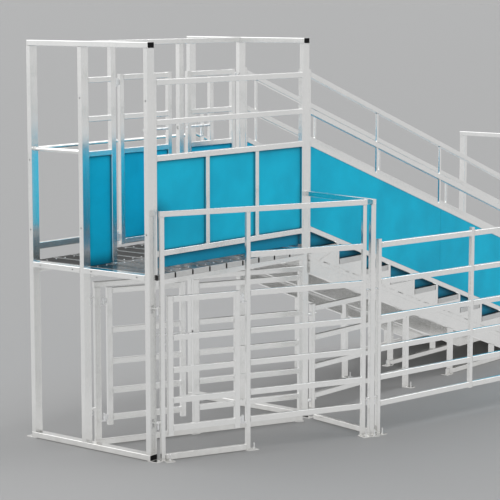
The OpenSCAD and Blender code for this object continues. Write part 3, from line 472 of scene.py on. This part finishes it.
steel = galvanised_steel(
    "galvanised_tube", dark=(0.81, 0.815, 0.81), light=(0.855, 0.855, 0.845), rough=(0.19, 0.25))
weld_metal = galvanised_steel(
    "weld_metal", dark=(0.62, 0.63, 0.63), light=(0.80, 0.80, 0.79), rough=(0.42, 0.55))
print("materials:", steel.name, weld_metal.name)

# %% [markdown]
# Pins, bolts and hinge sleeves are zinc plated, which is a little brighter than the dipped tubes
# and has a finer grain. The same spangle group serves with much smaller cells, so the two metals
# stay related.


# %% Plated hardware
def plated_hardware():
    material, tree, shader = start_material("zinc_plate")
    plating = use_group(tree, spangle, {"Crystals": 400.0, "Clouds": 14.0})
    colour = ramp_between(tree, plating["Tone"], dark=(0.80, 0.805, 0.81), light=(0.89, 0.895, 0.90))
    tree.links.new(dust_over(tree, colour, reach=0.25, base=0.0, most=0.4), shader.inputs["Base Color"])
    rough = roughness_from(tree, plating["Tone"], low=0.24, high=0.38)
    tree.links.new(rough, shader.inputs["Roughness"])
    shader.inputs["Metallic"].default_value = 0.5
    raise_skin(tree, shader, plating["Height"], depth=0.0002, strength=0.2)
    return material


zinc_plate = plated_hardware()
print("material:", zinc_plate.name)

# %% [markdown]
# The wall panels are solid blue plastic sheet with a stippled skin.
# The colour is nearly even, so only a slight mottle is mixed in, and the stipple is a bump that is
# less than half a millimetre deep. Its sheen comes from a middling roughness and not from a clear
# coat. A painted shade darkens each sheet along its frame. The kick strips below the panels are the
# same sheet in a deeper blue, which is painted shade for their place under the rails.


# %% Blue sheet
def blue_plastic_sheet(name, dark, light):
    material, tree, shader = start_material(name)
    skin = use_group(tree, moulded_skin, {"Grain": (260.0, 260.0, 260.0), "Mottle": 2.2})
    plain = ramp_between(tree, skin["Tone"], dark, light, low=0.38, high=0.62)
    # Painted shade: the sheet is darkened along the frame round it.
    with_painted_shade = painted_shade_over(tree, plain, reach=0.14, most=0.90)
    colour = dust_over(tree, with_painted_shade, reach=0.6, base=0.03, most=0.35)
    tree.links.new(colour, shader.inputs["Base Color"])
    rough = roughness_from(tree, skin["Tone"], low=0.38, high=0.50)
    tree.links.new(rough, shader.inputs["Roughness"])
    shader.inputs["Specular IOR Level"].default_value = 0.12
    raise_skin(tree, shader, skin["Height"], depth=0.0005, strength=0.35)
    return material


blue_sheet = blue_plastic_sheet("blue_sheet", dark=(0.006, 0.440, 0.670), light=(0.010, 0.590, 0.850))
# The deeper blue of the kick strips is painted shade, for their place under the rails.
shaded_kick_sheet = blue_plastic_sheet("shaded_kick_sheet", dark=(0.004, 0.340, 0.570), light=(0.006, 0.410, 0.660))
print("materials:", blue_sheet.name, shaded_kick_sheet.name)

# %% [markdown]
# The planks are extruded from recycled plastic. Their tops and the faces of the gaps between them are
# painted near black: partly stain from hooves, boots and dirt, and partly painted shade that stands in
# for a dark reflection on the tops. The sawn ends and the undersides keep a pale grey. The Geometry
# node's Normal tells these from the rest, because the planks lie across the ramp, and flow lines run
# along the same way. Hooves polish the animals' lane, and the walkway beside it stays rough and dull,
# so the roughness steps up where the lane ends.

# %% Grey planks
PLANK_STAIN_AND_SHADE = ((0.022, 0.020, 0.019), (0.050, 0.047, 0.046))
LANE_EDGE = sum(corner.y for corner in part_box("inner_posts")) / 2
LANE_FADE = 0.02


def plank_plastic():
    material, tree, shader = start_material("grey_plank")
    skin = use_group(tree, moulded_skin, {"Grain": (160.0, 6.0, 160.0), "Mottle": 4.0})
    # Near-black tops and gap faces: partly stain, partly painted shade for a dark reflection.
    stain_and_shade = ramp_between(tree, skin["Tone"], *PLANK_STAIN_AND_SHADE)
    sawn = ramp_between(tree, skin["Tone"], dark=(0.56, 0.56, 0.55), light=(0.70, 0.70, 0.69))
    normal = add(tree, "ShaderNodeNewGeometry").outputs["Normal"]
    facing = add(tree, "ShaderNodeSeparateXYZ", {"Vector": normal}).outputs
    sideways = add(tree, "ShaderNodeMath", {0: facing["Y"]}, operation="ABSOLUTE")
    downward = add(tree, "ShaderNodeMath", {0: facing["Z"], 1: -1.0}, operation="MULTIPLY")
    end_or_under = add(tree, "ShaderNodeMath", {0: sideways.outputs[0], 1: downward.outputs[0]},
                operation="MAXIMUM")
    is_end_or_under = add(tree, "ShaderNodeMapRange", {
        "Value": end_or_under.outputs[0], "From Min": 0.8, "From Max": 0.95})
    plain = mix_colours(tree, is_end_or_under.outputs[0], stain_and_shade, sawn)
    colour = dust_over(tree, plain, reach=0.6, base=0.10, most=0.5)
    tree.links.new(colour, shader.inputs["Base Color"])
    polished = roughness_from(tree, skin["Tone"], low=0.20, high=0.32)
    dull = roughness_from(tree, skin["Tone"], low=0.80, high=0.95)
    where = add(tree, "ShaderNodeTexCoord").outputs["Object"]
    beside = add(tree, "ShaderNodeSeparateXYZ", {"Vector": where}).outputs["Y"]
    is_walkway = add(tree, "ShaderNodeMapRange", {
        "Value": beside, "From Min": LANE_EDGE - LANE_FADE, "From Max": LANE_EDGE + LANE_FADE})
    rough = add(tree, "ShaderNodeMix", {"Factor": is_walkway.outputs[0], "A": polished, "B": dull},
                data_type="FLOAT")
    tree.links.new(rough.outputs[0], shader.inputs["Roughness"])
    shader.inputs["Specular IOR Level"].default_value = 0.35
    raise_skin(tree, shader, skin["Height"], depth=0.0006, strength=0.2)
    return material


grey_plank = plank_plastic()
print("material:", grey_plank.name)

# %% [markdown]
# The edges and ribs of the planks are paler than the dark tops: this is partly wear from hooves and
# boots, and partly a painted highlight such as light gives on a rounded edge. One function makes both
# finishes: pale where a face looks up, and dark on its sides like the plank tops. A texture painted
# along every edge would show the same, and would have to be painted again for each plank.


# %% Plank edges and ribs: wear and painted highlight
def plank_trim(name, dark, light):
    """Plank plastic pale where it looks up, for wear and a painted highlight, and dark on its sides."""
    material, tree, shader = start_material(name)
    skin = use_group(tree, moulded_skin, {"Grain": (120.0, 10.0, 120.0), "Mottle": 12.0})
    stain_and_shade = ramp_between(tree, skin["Tone"], *PLANK_STAIN_AND_SHADE)
    worn_and_highlighted = ramp_between(tree, skin["Tone"], dark, light)
    normal = add(tree, "ShaderNodeNewGeometry").outputs["Normal"]
    upward = add(tree, "ShaderNodeSeparateXYZ", {"Vector": normal}).outputs["Z"]
    is_up = add(tree, "ShaderNodeMapRange", {"Value": upward, "From Min": 0.1, "From Max": 0.3})
    tree.links.new(mix_colours(tree, is_up.outputs[0], stain_and_shade, worn_and_highlighted), shader.inputs["Base Color"])
    rough = roughness_from(tree, skin["Tone"], low=0.28, high=0.42)
    tree.links.new(rough, shader.inputs["Roughness"])
    shader.inputs["Specular IOR Level"].default_value = 0.25
    raise_skin(tree, shader, skin["Height"], depth=0.0003, strength=0.2)
    return material


# Pale tops of plank edges and ribs: wear, and a painted highlight.
edge_wear_and_highlight = plank_trim("plank_edge_wear_and_highlight", dark=(0.62, 0.62, 0.61), light=(0.82, 0.82, 0.81))
rib_wear_and_highlight = plank_trim("plank_rib_wear_and_highlight", dark=(0.16, 0.16, 0.155), light=(0.26, 0.26, 0.255))
print("materials:", edge_wear_and_highlight.name, rib_wear_and_highlight.name)

# %% [markdown]
# The plugs in the open ends of the beams and ground sills are black moulded plastic.
# Pure black would look like a hole, so the colour stays a little above it and the moulded skin
# breaks up the shine.


# %% Black plugs
def black_plastic():
    material, tree, shader = start_material("black_plug")
    skin = use_group(tree, moulded_skin, {"Grain": (700.0, 700.0, 700.0), "Mottle": 30.0})
    colour = ramp_between(tree, skin["Tone"], dark=(0.004, 0.004, 0.005), light=(0.010, 0.010, 0.011))
    tree.links.new(colour, shader.inputs["Base Color"])
    rough = roughness_from(tree, skin["Tone"], low=0.46, high=0.60)
    tree.links.new(rough, shader.inputs["Roughness"])
    shader.inputs["Specular IOR Level"].default_value = 0.06
    raise_skin(tree, shader, skin["Height"], depth=0.0003, strength=0.4)
    return material


black_plug = black_plastic()
print("material:", black_plug.name)

# %% [markdown]
# The record says which slot each node belongs to, so the finishes are handed out by slot.
# Naming fifty nodes one by one would work too, but a new node would then be forgotten.

# %% Hand out the finishes
FINISH_OF_SLOT = {"steel_white": steel, "sheet_blue": blue_sheet, "plank_grey": grey_plank,
                  "plug_black": black_plug, "zinc": zinc_plate}
for name, piece in nodes.items():
    piece.data.materials.clear()
    # Kick strips get the deeper blue sheet, which is painted shade.
    piece.data.materials.append(shaded_kick_sheet if "kick" in name else FINISH_OF_SLOT[slot_of[name]])
print("finishes:", {slot: sum(s == slot for s in slot_of.values()) for slot in FINISH_OF_SLOT})

# %% [markdown]
# No sawn plank, cut sheet or pressed plate has a knife edge. A Bevel modifier breaks those edges
# without touching the loaded mesh. The mesh is loose triangles, so a Weld modifier joins them
# first, or the Bevel would find no edge between two faces. On the planks the new narrow faces get
# the pale edge material, whose colour is wear and a painted highlight, and they show as thin bright
# lines.

# %% Break the sharp edges
MERGE = 1e-5
CORNER_LEAST = math.radians(50)
EDGE_STEPS = 2
EDGE_WIDTH = {"plank": 0.007, "sheet": 0.0015, "plate": 0.001, "plug": 0.0012}
EDGE_OF_NODE = {"deck_planks": "plank", "ramp_treads": "plank", "beam_plugs": "plug",
                "ramp_risers": "plate", "ramp_cheeks": "plate", "ramp_stringers": "plate",
                "foot_plates": "plate", "connector_lugs": "plate"}
EDGE_OF_NODE.update({name: "sheet" for name in nodes if slot_of[name] == "sheet_blue"})
for name, edge in EDGE_OF_NODE.items():
    piece = nodes[name]
    weld = piece.modifiers.new("join_triangles", "WELD")
    weld.merge_threshold = MERGE
    bevel = piece.modifiers.new("broken_edge", "BEVEL")
    bevel.width = EDGE_WIDTH[edge]
    bevel.segments = EDGE_STEPS
    bevel.limit_method = "ANGLE"
    bevel.angle_limit = CORNER_LEAST
    if edge == "plank":
        piece.data.materials.append(edge_wear_and_highlight)
        bevel.material = 1
print("edges broken on", len(EDGE_OF_NODE), "nodes")

# %% [markdown]
# Every tube is cut to length and welded to its neighbours, so the joints need beads, and ends that
# meet nothing need caps. To find them, each node is copied, its triangles are merged, and the copy
# is split into its solids. A dict holds the faces still to be visited, because it keeps the order of
# the mesh, and a set would start each run somewhere else.

# %% Split the nodes into solids
PLATES = {"ramp_risers", "ramp_cheeks", "ramp_stringers", "foot_plates", "connector_lugs"}


def merged_copy(node):
    """A node's mesh with its loose triangles joined."""
    mesh = bmesh.new()
    mesh.from_mesh(node.data)
    bmesh.ops.remove_doubles(mesh, verts=mesh.verts, dist=MERGE)
    mesh.normal_update()
    return mesh


def islands(faces):
    """The faces of each solid in turn."""
    left = dict.fromkeys(faces)
    while left:
        found = [left.popitem()[0]]
        for face in found:
            for edge in face.edges:
                for other in edge.link_faces:
                    if other in left:
                        del left[other]
                        found.append(other)
        yield found


print("tube nodes:", sum(slot_of[n] == "steel_white" and n not in PLATES for n in nodes))

# %% [markdown]
# The outline of a tube's end is a flat loop of sharp edges whose side faces look away from the middle
# of the loop. The sides of a bore look inwards, so bores are passed over.

# %% Find the ends of tubes
SHARP = math.radians(52)
TUBE_LEAST = 0.03
FLAT_WITHIN = 1e-4
SAME_WAY = 0.99


def sharp_loops(faces):
    """The connected runs of sharp edges on a solid."""
    edges = dict.fromkeys(e for f in faces for e in f.edges if len(e.link_faces) == 2)
    sharp = dict.fromkeys(e for e in edges if e.calc_face_angle() > SHARP)
    while sharp:
        loop = [sharp.popitem()[0]]
        for edge in loop:
            for vert in edge.verts:
                for other in vert.link_edges:
                    if other in sharp:
                        del sharp[other]
                        loop.append(other)
        yield loop


def tube_end(loop):
    """Middle and outward normal of a tube's end, or None where the loop is something else."""
    corners = dict.fromkeys(v for e in loop for v in e.verts)
    if len(corners) != len(loop):
        return None
    middle = sum((v.co for v in corners), Vector()) / len(corners)
    if max((v.co - middle).length for v in corners) * 2 < TUBE_LEAST:
        return None
    for face in loop[0].link_faces:
        normal = face.normal
        if max(abs((v.co - middle).dot(normal)) for v in corners) > FLAT_WITHIN:
            continue
        sides = [f for e in loop for f in e.link_faces if f.normal.dot(normal) < SAME_WAY]
        if all((f.calc_center_median() - middle).dot(f.normal) > 0 for f in sides):
            return middle, normal.copy()
    return None


print("helpers: sharp_loops, tube_end")

# %% [markdown]
# An end edge is welded where another solid of the same body lies within about a millimetre of it.
# A tree of bounding boxes answers that question fast, and each triangle in it remembers its solid.
# Ends that meet nothing, or only rest on a post with one edge, are kept for the caps.

# %% Find the welded edges and the free ends
WELD_REACH = 0.0012
OPEN_REACH = 0.008


def survey(body):
    """Welded edges, as pairs of points, and free ends, as rings of points with their normals."""
    points, triangles, owners, ends = [], [], [], []
    for name in sorted(n for n in nodes if body_of[n] == body):
        mesh = merged_copy(nodes[name])
        for faces in islands(mesh.faces):
            solid = (name, len(points))
            for face in faces:
                triangles.append([len(points) + i for i in range(3)])
                points.extend(v.co.copy() for v in face.verts)
                owners.append(solid)
            if slot_of[name] == "steel_white" and name not in PLATES:
                for loop in sharp_loops(faces):
                    end = tube_end(loop)
                    if end:
                        ends.append((solid, [[v.co.copy() for v in e.verts] for e in loop], *end))
        mesh.free()
    tree = BVHTree.FromPolygons(points, triangles)

    def meets(solid, place, reach):
        return any(owners[hit[2]] != solid for hit in tree.find_nearest_range(place, reach))

    welded, free = [], []
    for solid, edges, middle, normal in ends:
        near = [meets(solid, (a + b) / 2, WELD_REACH) for a, b in edges]
        welded.extend(edge for edge, touches in zip(edges, near) if touches)
        if 2 * sum(near) < len(near) and not meets(solid, middle, OPEN_REACH):
            free.append((edges, normal))
    return welded, free


joints_found = {body: survey(body) for body in frame["bodies"]}
for body, (welded, free) in joints_found.items():
    print("survey:", body, len(welded), "welded edges and", len(free), "free ends")

# %% [markdown]
# Beads, caps, ribs and screws repeat many times, which is a job for Geometry Nodes. Each tree starts
# and ends alike, so that is written once. The last helper turns a tree's result into a plain mesh,
# because instances and live node trees would not survive an export.

# %% Helpers for Geometry Nodes pieces
GEOMETRY = "NodeSocketGeometry"


def open_shape(name, inputs):
    """A new Geometry Nodes tree with the given inputs for its sizes."""
    return open_group(name, "GeometryNodeTree", [("Geometry", GEOMETRY, None), *inputs],
                      [("Geometry", GEOMETRY)])


def close_shape(tree, result, geometry, material):
    """The end of a tree: real geometry with its material."""
    whole = add(tree, "GeometryNodeRealizeInstances", {"Geometry": geometry})
    painted = add(tree, "GeometryNodeSetMaterial", {"Geometry": whole.outputs[0], "Material": material})
    tree.links.new(painted.outputs[0], result["Geometry"])


def shaped_piece(name, points, edges, faces, tree, values, body):
    """A plain mesh made by a Geometry Nodes tree from a few points, riding on a body."""
    guide_mesh = bpy.data.meshes.new(name + "_guide")
    guide_mesh.from_pydata(points, edges, faces)
    guide = bpy.data.objects.new(name + "_guide", guide_mesh)
    shape = guide.modifiers.new("shape", "NODES")
    shape.node_group = tree
    for item in tree.interface.items_tree:
        if item.in_out == "INPUT" and item.name in values:
            shape[item.identifier] = values[item.name]
    scene.collection.objects.link(guide)
    evaluated = guide.evaluated_get(bpy.context.evaluated_depsgraph_get())
    mesh = bpy.data.meshes.new_from_object(evaluated)
    bpy.data.objects.remove(guide)
    mesh.name = name
    piece = bpy.data.objects.new(name, mesh)
    scene.collection.objects.link(piece)
    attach(piece, body)
    mesh.calc_loop_triangles()
    print("piece:", name, len(mesh.loop_triangles), "triangles on", body)


print("helpers: open_shape, close_shape, shaped_piece")

# %% [markdown]
# A weld bead follows a path. The welded edges become a mesh of bare edges, the tree turns them into
# curves, sweeps a small circle along them and shakes the points a little, as a welder's hand does.
# Drawing hundreds of beads by hand would give no more.


# %% Weld beads
def bead_tree():
    tree, given, result = open_shape("Weld bead", [
        ("Radius", NUMBER, 0.003), ("Step", NUMBER, 0.008), ("Shake", NUMBER, 0.001)])
    path = add(tree, "GeometryNodeMeshToCurve", {"Mesh": given["Geometry"]})
    even = add(tree, "GeometryNodeResampleCurve", {"Curve": path.outputs[0], "Length": given["Step"]},
               mode="LENGTH")
    ring = add(tree, "GeometryNodeCurvePrimitiveCircle", {"Resolution": 6, "Radius": given["Radius"]})
    swept = add(tree, "GeometryNodeCurveToMesh", {
        "Curve": even.outputs[0], "Profile Curve": ring.outputs[0], "Fill Caps": True})
    noise = add(tree, "ShaderNodeTexNoise", {"Scale": 90.0, "Detail": 1.0})
    centred = add(tree, "ShaderNodeVectorMath", {0: noise.outputs["Color"], 1: (0.5, 0.5, 0.5)},
                  operation="SUBTRACT")
    shake = add(tree, "ShaderNodeVectorMath", {0: centred.outputs[0], "Scale": given["Shake"]},
                operation="SCALE")
    moved = add(tree, "GeometryNodeSetPosition", {
        "Geometry": swept.outputs[0], "Offset": shake.outputs[0]})
    smooth = add(tree, "GeometryNodeSetShadeSmooth", {"Geometry": moved.outputs[0]})
    close_shape(tree, result, smooth.outputs[0], weld_metal)
    return tree


weld_bead = bead_tree()
BEAD = {"Radius": 0.0032, "Step": 0.009, "Shake": 0.0022}


def edge_mesh(pairs):
    """Points and edges of a bare edge mesh, with shared ends joined."""
    places, edges = {}, []
    for pair in pairs:
        keys = [tuple(round(c, 5) for c in point) for point in pair]
        edges.append([places.setdefault(key, len(places)) for key in keys])
    return list(places), edges


for body, (welded, _) in joints_found.items():
    if welded:
        points, edges = edge_mesh(welded)
        shaped_piece("weld_beads_" + body, points, edges, [], weld_bead, BEAD, body)

# %% [markdown]
# Open tube ends are closed by thin caps, so no water stands in them. Each free end gives one flat
# face, and Extrude Mesh lifts it by the thickness of the cap. The face that stays behind is turned
# round and joined on, or the cap would be an open lid.


# %% End caps
def cap_tree():
    tree, given, result = open_shape("End cap", [("Thickness", NUMBER, 0.002)])
    lifted = add(tree, "GeometryNodeExtrudeMesh", {
        "Mesh": given["Geometry"], "Offset Scale": given["Thickness"], "Individual": False})
    back = add(tree, "GeometryNodeFlipFaces", {"Mesh": given["Geometry"]})
    both = add(tree, "GeometryNodeJoinGeometry")
    tree.links.new(lifted.outputs["Mesh"], both.inputs[0])
    tree.links.new(back.outputs[0], both.inputs[0])
    closed = add(tree, "GeometryNodeMergeByDistance", {"Geometry": both.outputs[0], "Distance": MERGE})
    close_shape(tree, result, closed.outputs[0], steel)
    return tree


end_cap = cap_tree()
CAP_THICKNESS = 0.003


def ring_in_order(edges, normal):
    """Points of a closed loop of edges, in order round the normal."""
    points, pairs = edge_mesh(edges)
    beside = {}
    for a, b in pairs:
        beside.setdefault(a, []).append(b)
        beside.setdefault(b, []).append(a)
    order = [0, beside[0][0]]
    while len(order) < len(points):
        order.append(next(n for n in beside[order[-1]] if n != order[-2]))
    ring = [Vector(points[i]) for i in order]
    middle = sum(ring, Vector()) / len(ring)
    turn = (ring[0] - middle).cross(ring[1] - middle).dot(normal)
    return ring if turn > 0 else ring[::-1]


for body, (_, free) in joints_found.items():
    points, faces = [], []
    for edges, normal in free:
        ring = ring_in_order(edges, normal)
        faces.append([len(points) + i for i in range(len(ring))])
        points.extend(ring)
    if faces:
        shaped_piece("tube_caps_" + body, points, [], faces, end_cap, {"Thickness": CAP_THICKNESS},
                     body)

# %% [markdown]
# Ribs and screws need to know where each plank lies. The planks share one node and the treads
# another, so copies of both are split into solids again, and the lowest and highest corner of each
# solid says enough about it.


# %% Places on the planks
def solid_boxes(name):
    """The lowest and highest corner of each solid of a node, in order along the ramp."""
    mesh = merged_copy(nodes[name])
    boxes = []
    for faces in islands(mesh.faces):
        places = [v.co for f in faces for v in f.verts]
        boxes.append([Vector((pick(p[i] for p in places) for i in range(3))) for pick in (min, max)])
    mesh.free()
    return sorted(boxes, key=lambda box: box[0].x)


planks = solid_boxes("deck_planks") + solid_boxes("ramp_treads")
plank_length = planks[0][1].y - planks[0][0].y
print("planks and treads:", len(planks), "each", round(plank_length, 3), "m long")

# %% [markdown]
# Animals slip on flat plastic, so each plank and tread carries raised grip ribs along its edges.
# A rib is a rod that is half sunk in the plank. The tree sweeps one circle along one line and
# sets a copy on every starting point, because all planks have the same length.


# %% Grip ribs
def rib_tree():
    tree, given, result = open_shape("Grip rib", [("Radius", NUMBER, 0.003), ("Length", NUMBER, 1.0)])
    far = add(tree, "ShaderNodeCombineXYZ", {"Y": given["Length"]})
    line = add(tree, "GeometryNodeCurvePrimitiveLine", {"End": far.outputs[0]})
    ring = add(tree, "GeometryNodeCurvePrimitiveCircle", {"Resolution": 8, "Radius": given["Radius"]})
    rod = add(tree, "GeometryNodeCurveToMesh", {
        "Curve": line.outputs[0], "Profile Curve": ring.outputs[0], "Fill Caps": True})
    rows = add(tree, "GeometryNodeInstanceOnPoints", {
        "Points": given["Geometry"], "Instance": rod.outputs[0]})
    # The rib tops take the pale material, which is wear and a painted highlight.
    close_shape(tree, result, rows.outputs[0], rib_wear_and_highlight)
    return tree


RIB_IN = 0.014
RIB_RADIUS = 0.0028
RIB_SHORT = 0.004
rib_starts = [(x, low.y + RIB_SHORT, high.z)
              for low, high in planks for x in (low.x + RIB_IN, high.x - RIB_IN)]
shaped_piece("grip_ribs", rib_starts, [], [], rib_tree(),
             {"Radius": RIB_RADIUS, "Length": plank_length - 2 * RIB_SHORT}, "base")

# %% [markdown]
# Screws hold every plank and tread down in four rows, close beside the walls and the guard that stand
# over the three beams, with two screws to a plank in each row. Their low heads are cones with the tip
# cut off, set on points. A few sides are enough for a head a centimetre and a half across.

# %% Plank screws
CROWN_SHARE = 0.62


def screw_tree():
    tree, given, result = open_shape("Screw head", [("Radius", NUMBER, 0.007), ("Height", NUMBER, 0.003)])
    crown = add(tree, "ShaderNodeMath", {0: given["Radius"], 1: CROWN_SHARE}, operation="MULTIPLY")
    head = add(tree, "GeometryNodeMeshCone", {
        "Vertices": 12, "Radius Top": crown.outputs[0], "Radius Bottom": given["Radius"],
        "Depth": given["Height"]})
    heads = add(tree, "GeometryNodeInstanceOnPoints", {
        "Points": given["Geometry"], "Instance": head.outputs[0]})
    close_shape(tree, result, heads.outputs[0], zinc_plate)
    return tree


SCREW_RADIUS = 0.0075
SCREW_HEIGHT = 0.003
SCREW_IN = 0.055
SCREW_CLEAR = 0.03
beam_lines = sorted((low.y + high.y) / 2 for low, high in solid_boxes("deck_beams"))
near_beam, inner_beam, outer_beam = beam_lines
wall_low, wall_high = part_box("near_wall_frame")
screw_side = (wall_high.y - wall_low.y) / 2 + SCREW_CLEAR
screw_lines = [near_beam + screw_side, inner_beam - screw_side, inner_beam + screw_side,
               outer_beam - screw_side]
screw_places = [(x, y, high.z) for low, high in planks for y in screw_lines
                for x in (low.x + SCREW_IN, high.x - SCREW_IN)]
shaped_piece("plank_screws", screw_places, [], [], screw_tree(),
             {"Radius": SCREW_RADIUS, "Height": SCREW_HEIGHT}, "base")

# %% [markdown]
# A low hurdle closes the side of the lane under the head of the ramp. Its stile is bolted to the
# portal post, its lower rails run to the first leg, and its upper rails end under the stringer that
# slopes down over them. Two rays from the ground measure that slope on the loaded mesh, so that each
# rail can be cut to fit.

# %% Places for the hurdle
RAIL_SIDE = 0.050
RAIL_DEPTH = 0.040
RAIL_LOWEST = 0.162
RAIL_PITCH = 0.288
RAIL_COUNT = 4
STILE_GAP = 0.062
POST_LEAST = 1.0

uprights = [box for box in solid_boxes("head_portal") if box[1].z - box[0].z > POST_LEAST]
near_post = min(uprights, key=lambda box: box[0].y)
near_leg = min(solid_boxes("ramp_legs"), key=lambda box: (round(box[0].y, 3), box[0].x))
hurdle_front = near_post[0].y
hurdle_back = hurdle_front + RAIL_DEPTH
hurdle_line = (hurdle_front + hurdle_back) / 2
stile_left = near_post[1].x + STILE_GAP
stile_right = stile_left + RAIL_SIDE
rail_bottoms = [RAIL_LOWEST + i * RAIL_PITCH for i in range(RAIL_COUNT)]

stringers = merged_copy(nodes["ramp_stringers"])
stringer_faces = BVHTree.FromBMesh(stringers)
stringers.free()


def underside(x):
    """Height of the near stringer's underside over a place on the hurdle's line."""
    return stringer_faces.ray_cast(Vector((x, hurdle_line, 0)), Vector((0, 0, 1)))[0].z


fall = (underside(near_leg[0].x) - underside(stile_right)) / (near_leg[0].x - stile_right)


def rail_end(height):
    """Where a rail's edge at this height meets the stringer or the leg."""
    return min(near_leg[0].x, stile_right + (height - underside(stile_right)) / fall)


print("hurdle: stringer falls", round(-fall, 3), "m in a metre")

# %% [markdown]
# Four rails of different lengths are quicker as boxes in mesh code than as a node tree. A Bevel
# modifier gives them the round corners of a tube, and the bead tree serves again for their ends.

# %% Hurdle under the ramp
STILE_OVER = 0.020
TUBE_CORNER = 0.004


def add_bar(mesh, low, high, lean=0.0):
    """A bar between two corners. The top of its far end lies back by lean."""
    for vert in bmesh.ops.create_cube(mesh, size=1.0)["verts"]:
        cut = lean if vert.co.x > 0 and vert.co.z > 0 else 0.0
        vert.co = [a + (c + 0.5) * (b - a) for a, b, c in zip(low, high, vert.co)]
        vert.co.x -= cut


def end_edges(low_x, high_x, low_z, high_z):
    """The four edges round a rail's end."""
    ring = [(low_x, hurdle_front, low_z), (low_x, hurdle_back, low_z), (high_x, hurdle_back, high_z),
            (high_x, hurdle_front, high_z)]
    return list(zip(ring, ring[1:] + ring[:1]))


def plain_piece(name, mesh, material, corner):
    """A fixed piece from mesh code, with its corners rounded."""
    data = bpy.data.meshes.new(name)
    mesh.to_mesh(data)
    mesh.free()
    data.materials.append(material)
    piece = bpy.data.objects.new(name, data)
    scene.collection.objects.link(piece)
    rounding = piece.modifiers.new("round_corner", "BEVEL")
    rounding.width = corner
    rounding.segments = EDGE_STEPS
    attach(piece, "base")
    print("piece:", name, len(data.polygons), "faces before rounding")


hurdle = bmesh.new()
hurdle_welds = []
add_bar(hurdle, (stile_left, hurdle_front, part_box("head_portal")[0].z),
        (stile_right, hurdle_back, rail_bottoms[-1] + RAIL_SIDE + STILE_OVER))
for bottom in rail_bottoms:
    top = bottom + RAIL_SIDE
    far_low, far_high = rail_end(bottom), rail_end(top)
    add_bar(hurdle, (stile_right, hurdle_front, bottom), (far_low, hurdle_back, top), far_low - far_high)
    hurdle_welds += end_edges(stile_right, stile_right, bottom, top)
    hurdle_welds += end_edges(far_low, far_high, bottom, top)
plain_piece("under_ramp_hurdle", hurdle, steel, TUBE_CORNER)
hurdle_points, hurdle_edges = edge_mesh(hurdle_welds)
shaped_piece("weld_beads_hurdle", hurdle_points, hurdle_edges, [], weld_bead, BEAD, "base")

# %% [markdown]
# Two long bolts with spacers hold the stile to the post. A bolt is a stack of round and six-sided
# prisms on one line, so one loop over radius, sides and ends builds it.

# %% Hurdle bolts
BOLT_HEIGHTS = (0.146, 1.0)
BOLT_CORNER = 0.0008
SPACER_RADIUS = 0.016
SHANK_RADIUS = 0.008
SHANK_REACH = 0.040
NUT_RADIUS = 0.013
NUT_REACH = 0.012
STILE_FACE = STILE_GAP + RAIL_SIDE
SPACER = (SPACER_RADIUS, 24, 0.0, STILE_GAP)
SHANK = (SHANK_RADIUS, 16, STILE_FACE, STILE_FACE + SHANK_REACH)
NUT = (NUT_RADIUS, 6, STILE_FACE, STILE_FACE + NUT_REACH)


def add_prism(mesh, radius, sides, start, end, height):
    """A prism along the ramp, between two distances from the post."""
    turns = [2 * math.pi * i / sides for i in range(sides)]
    rings = []
    for reach in (start, end):
        rings.append([mesh.verts.new((near_post[1].x + reach, hurdle_line + radius * math.cos(t),
                                      height + radius * math.sin(t))) for t in turns])
    mesh.faces.new(rings[0][::-1])
    mesh.faces.new(rings[1])
    for i in range(sides):
        j = (i + 1) % sides
        mesh.faces.new((rings[0][i], rings[0][j], rings[1][j], rings[1][i]))


bolts = bmesh.new()
for height in BOLT_HEIGHTS:
    for part in (SPACER, SHANK, NUT):
        add_prism(bolts, *part, height)
plain_piece("hurdle_bolts", bolts, zinc_plate, BOLT_CORNER)

# %% [markdown]
# Last, the size of the dressed ramp is compared with the box of the loaded model.
# Beads and caps stand only a few millimetres proud, so the two boxes have to agree closely.

# %% Sizes and finish
dressed_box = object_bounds()
grown = [round((b - a).length, 4) for a, b in zip(cad_box, dressed_box)]
print("box grew by", grown, "m at its two corners")
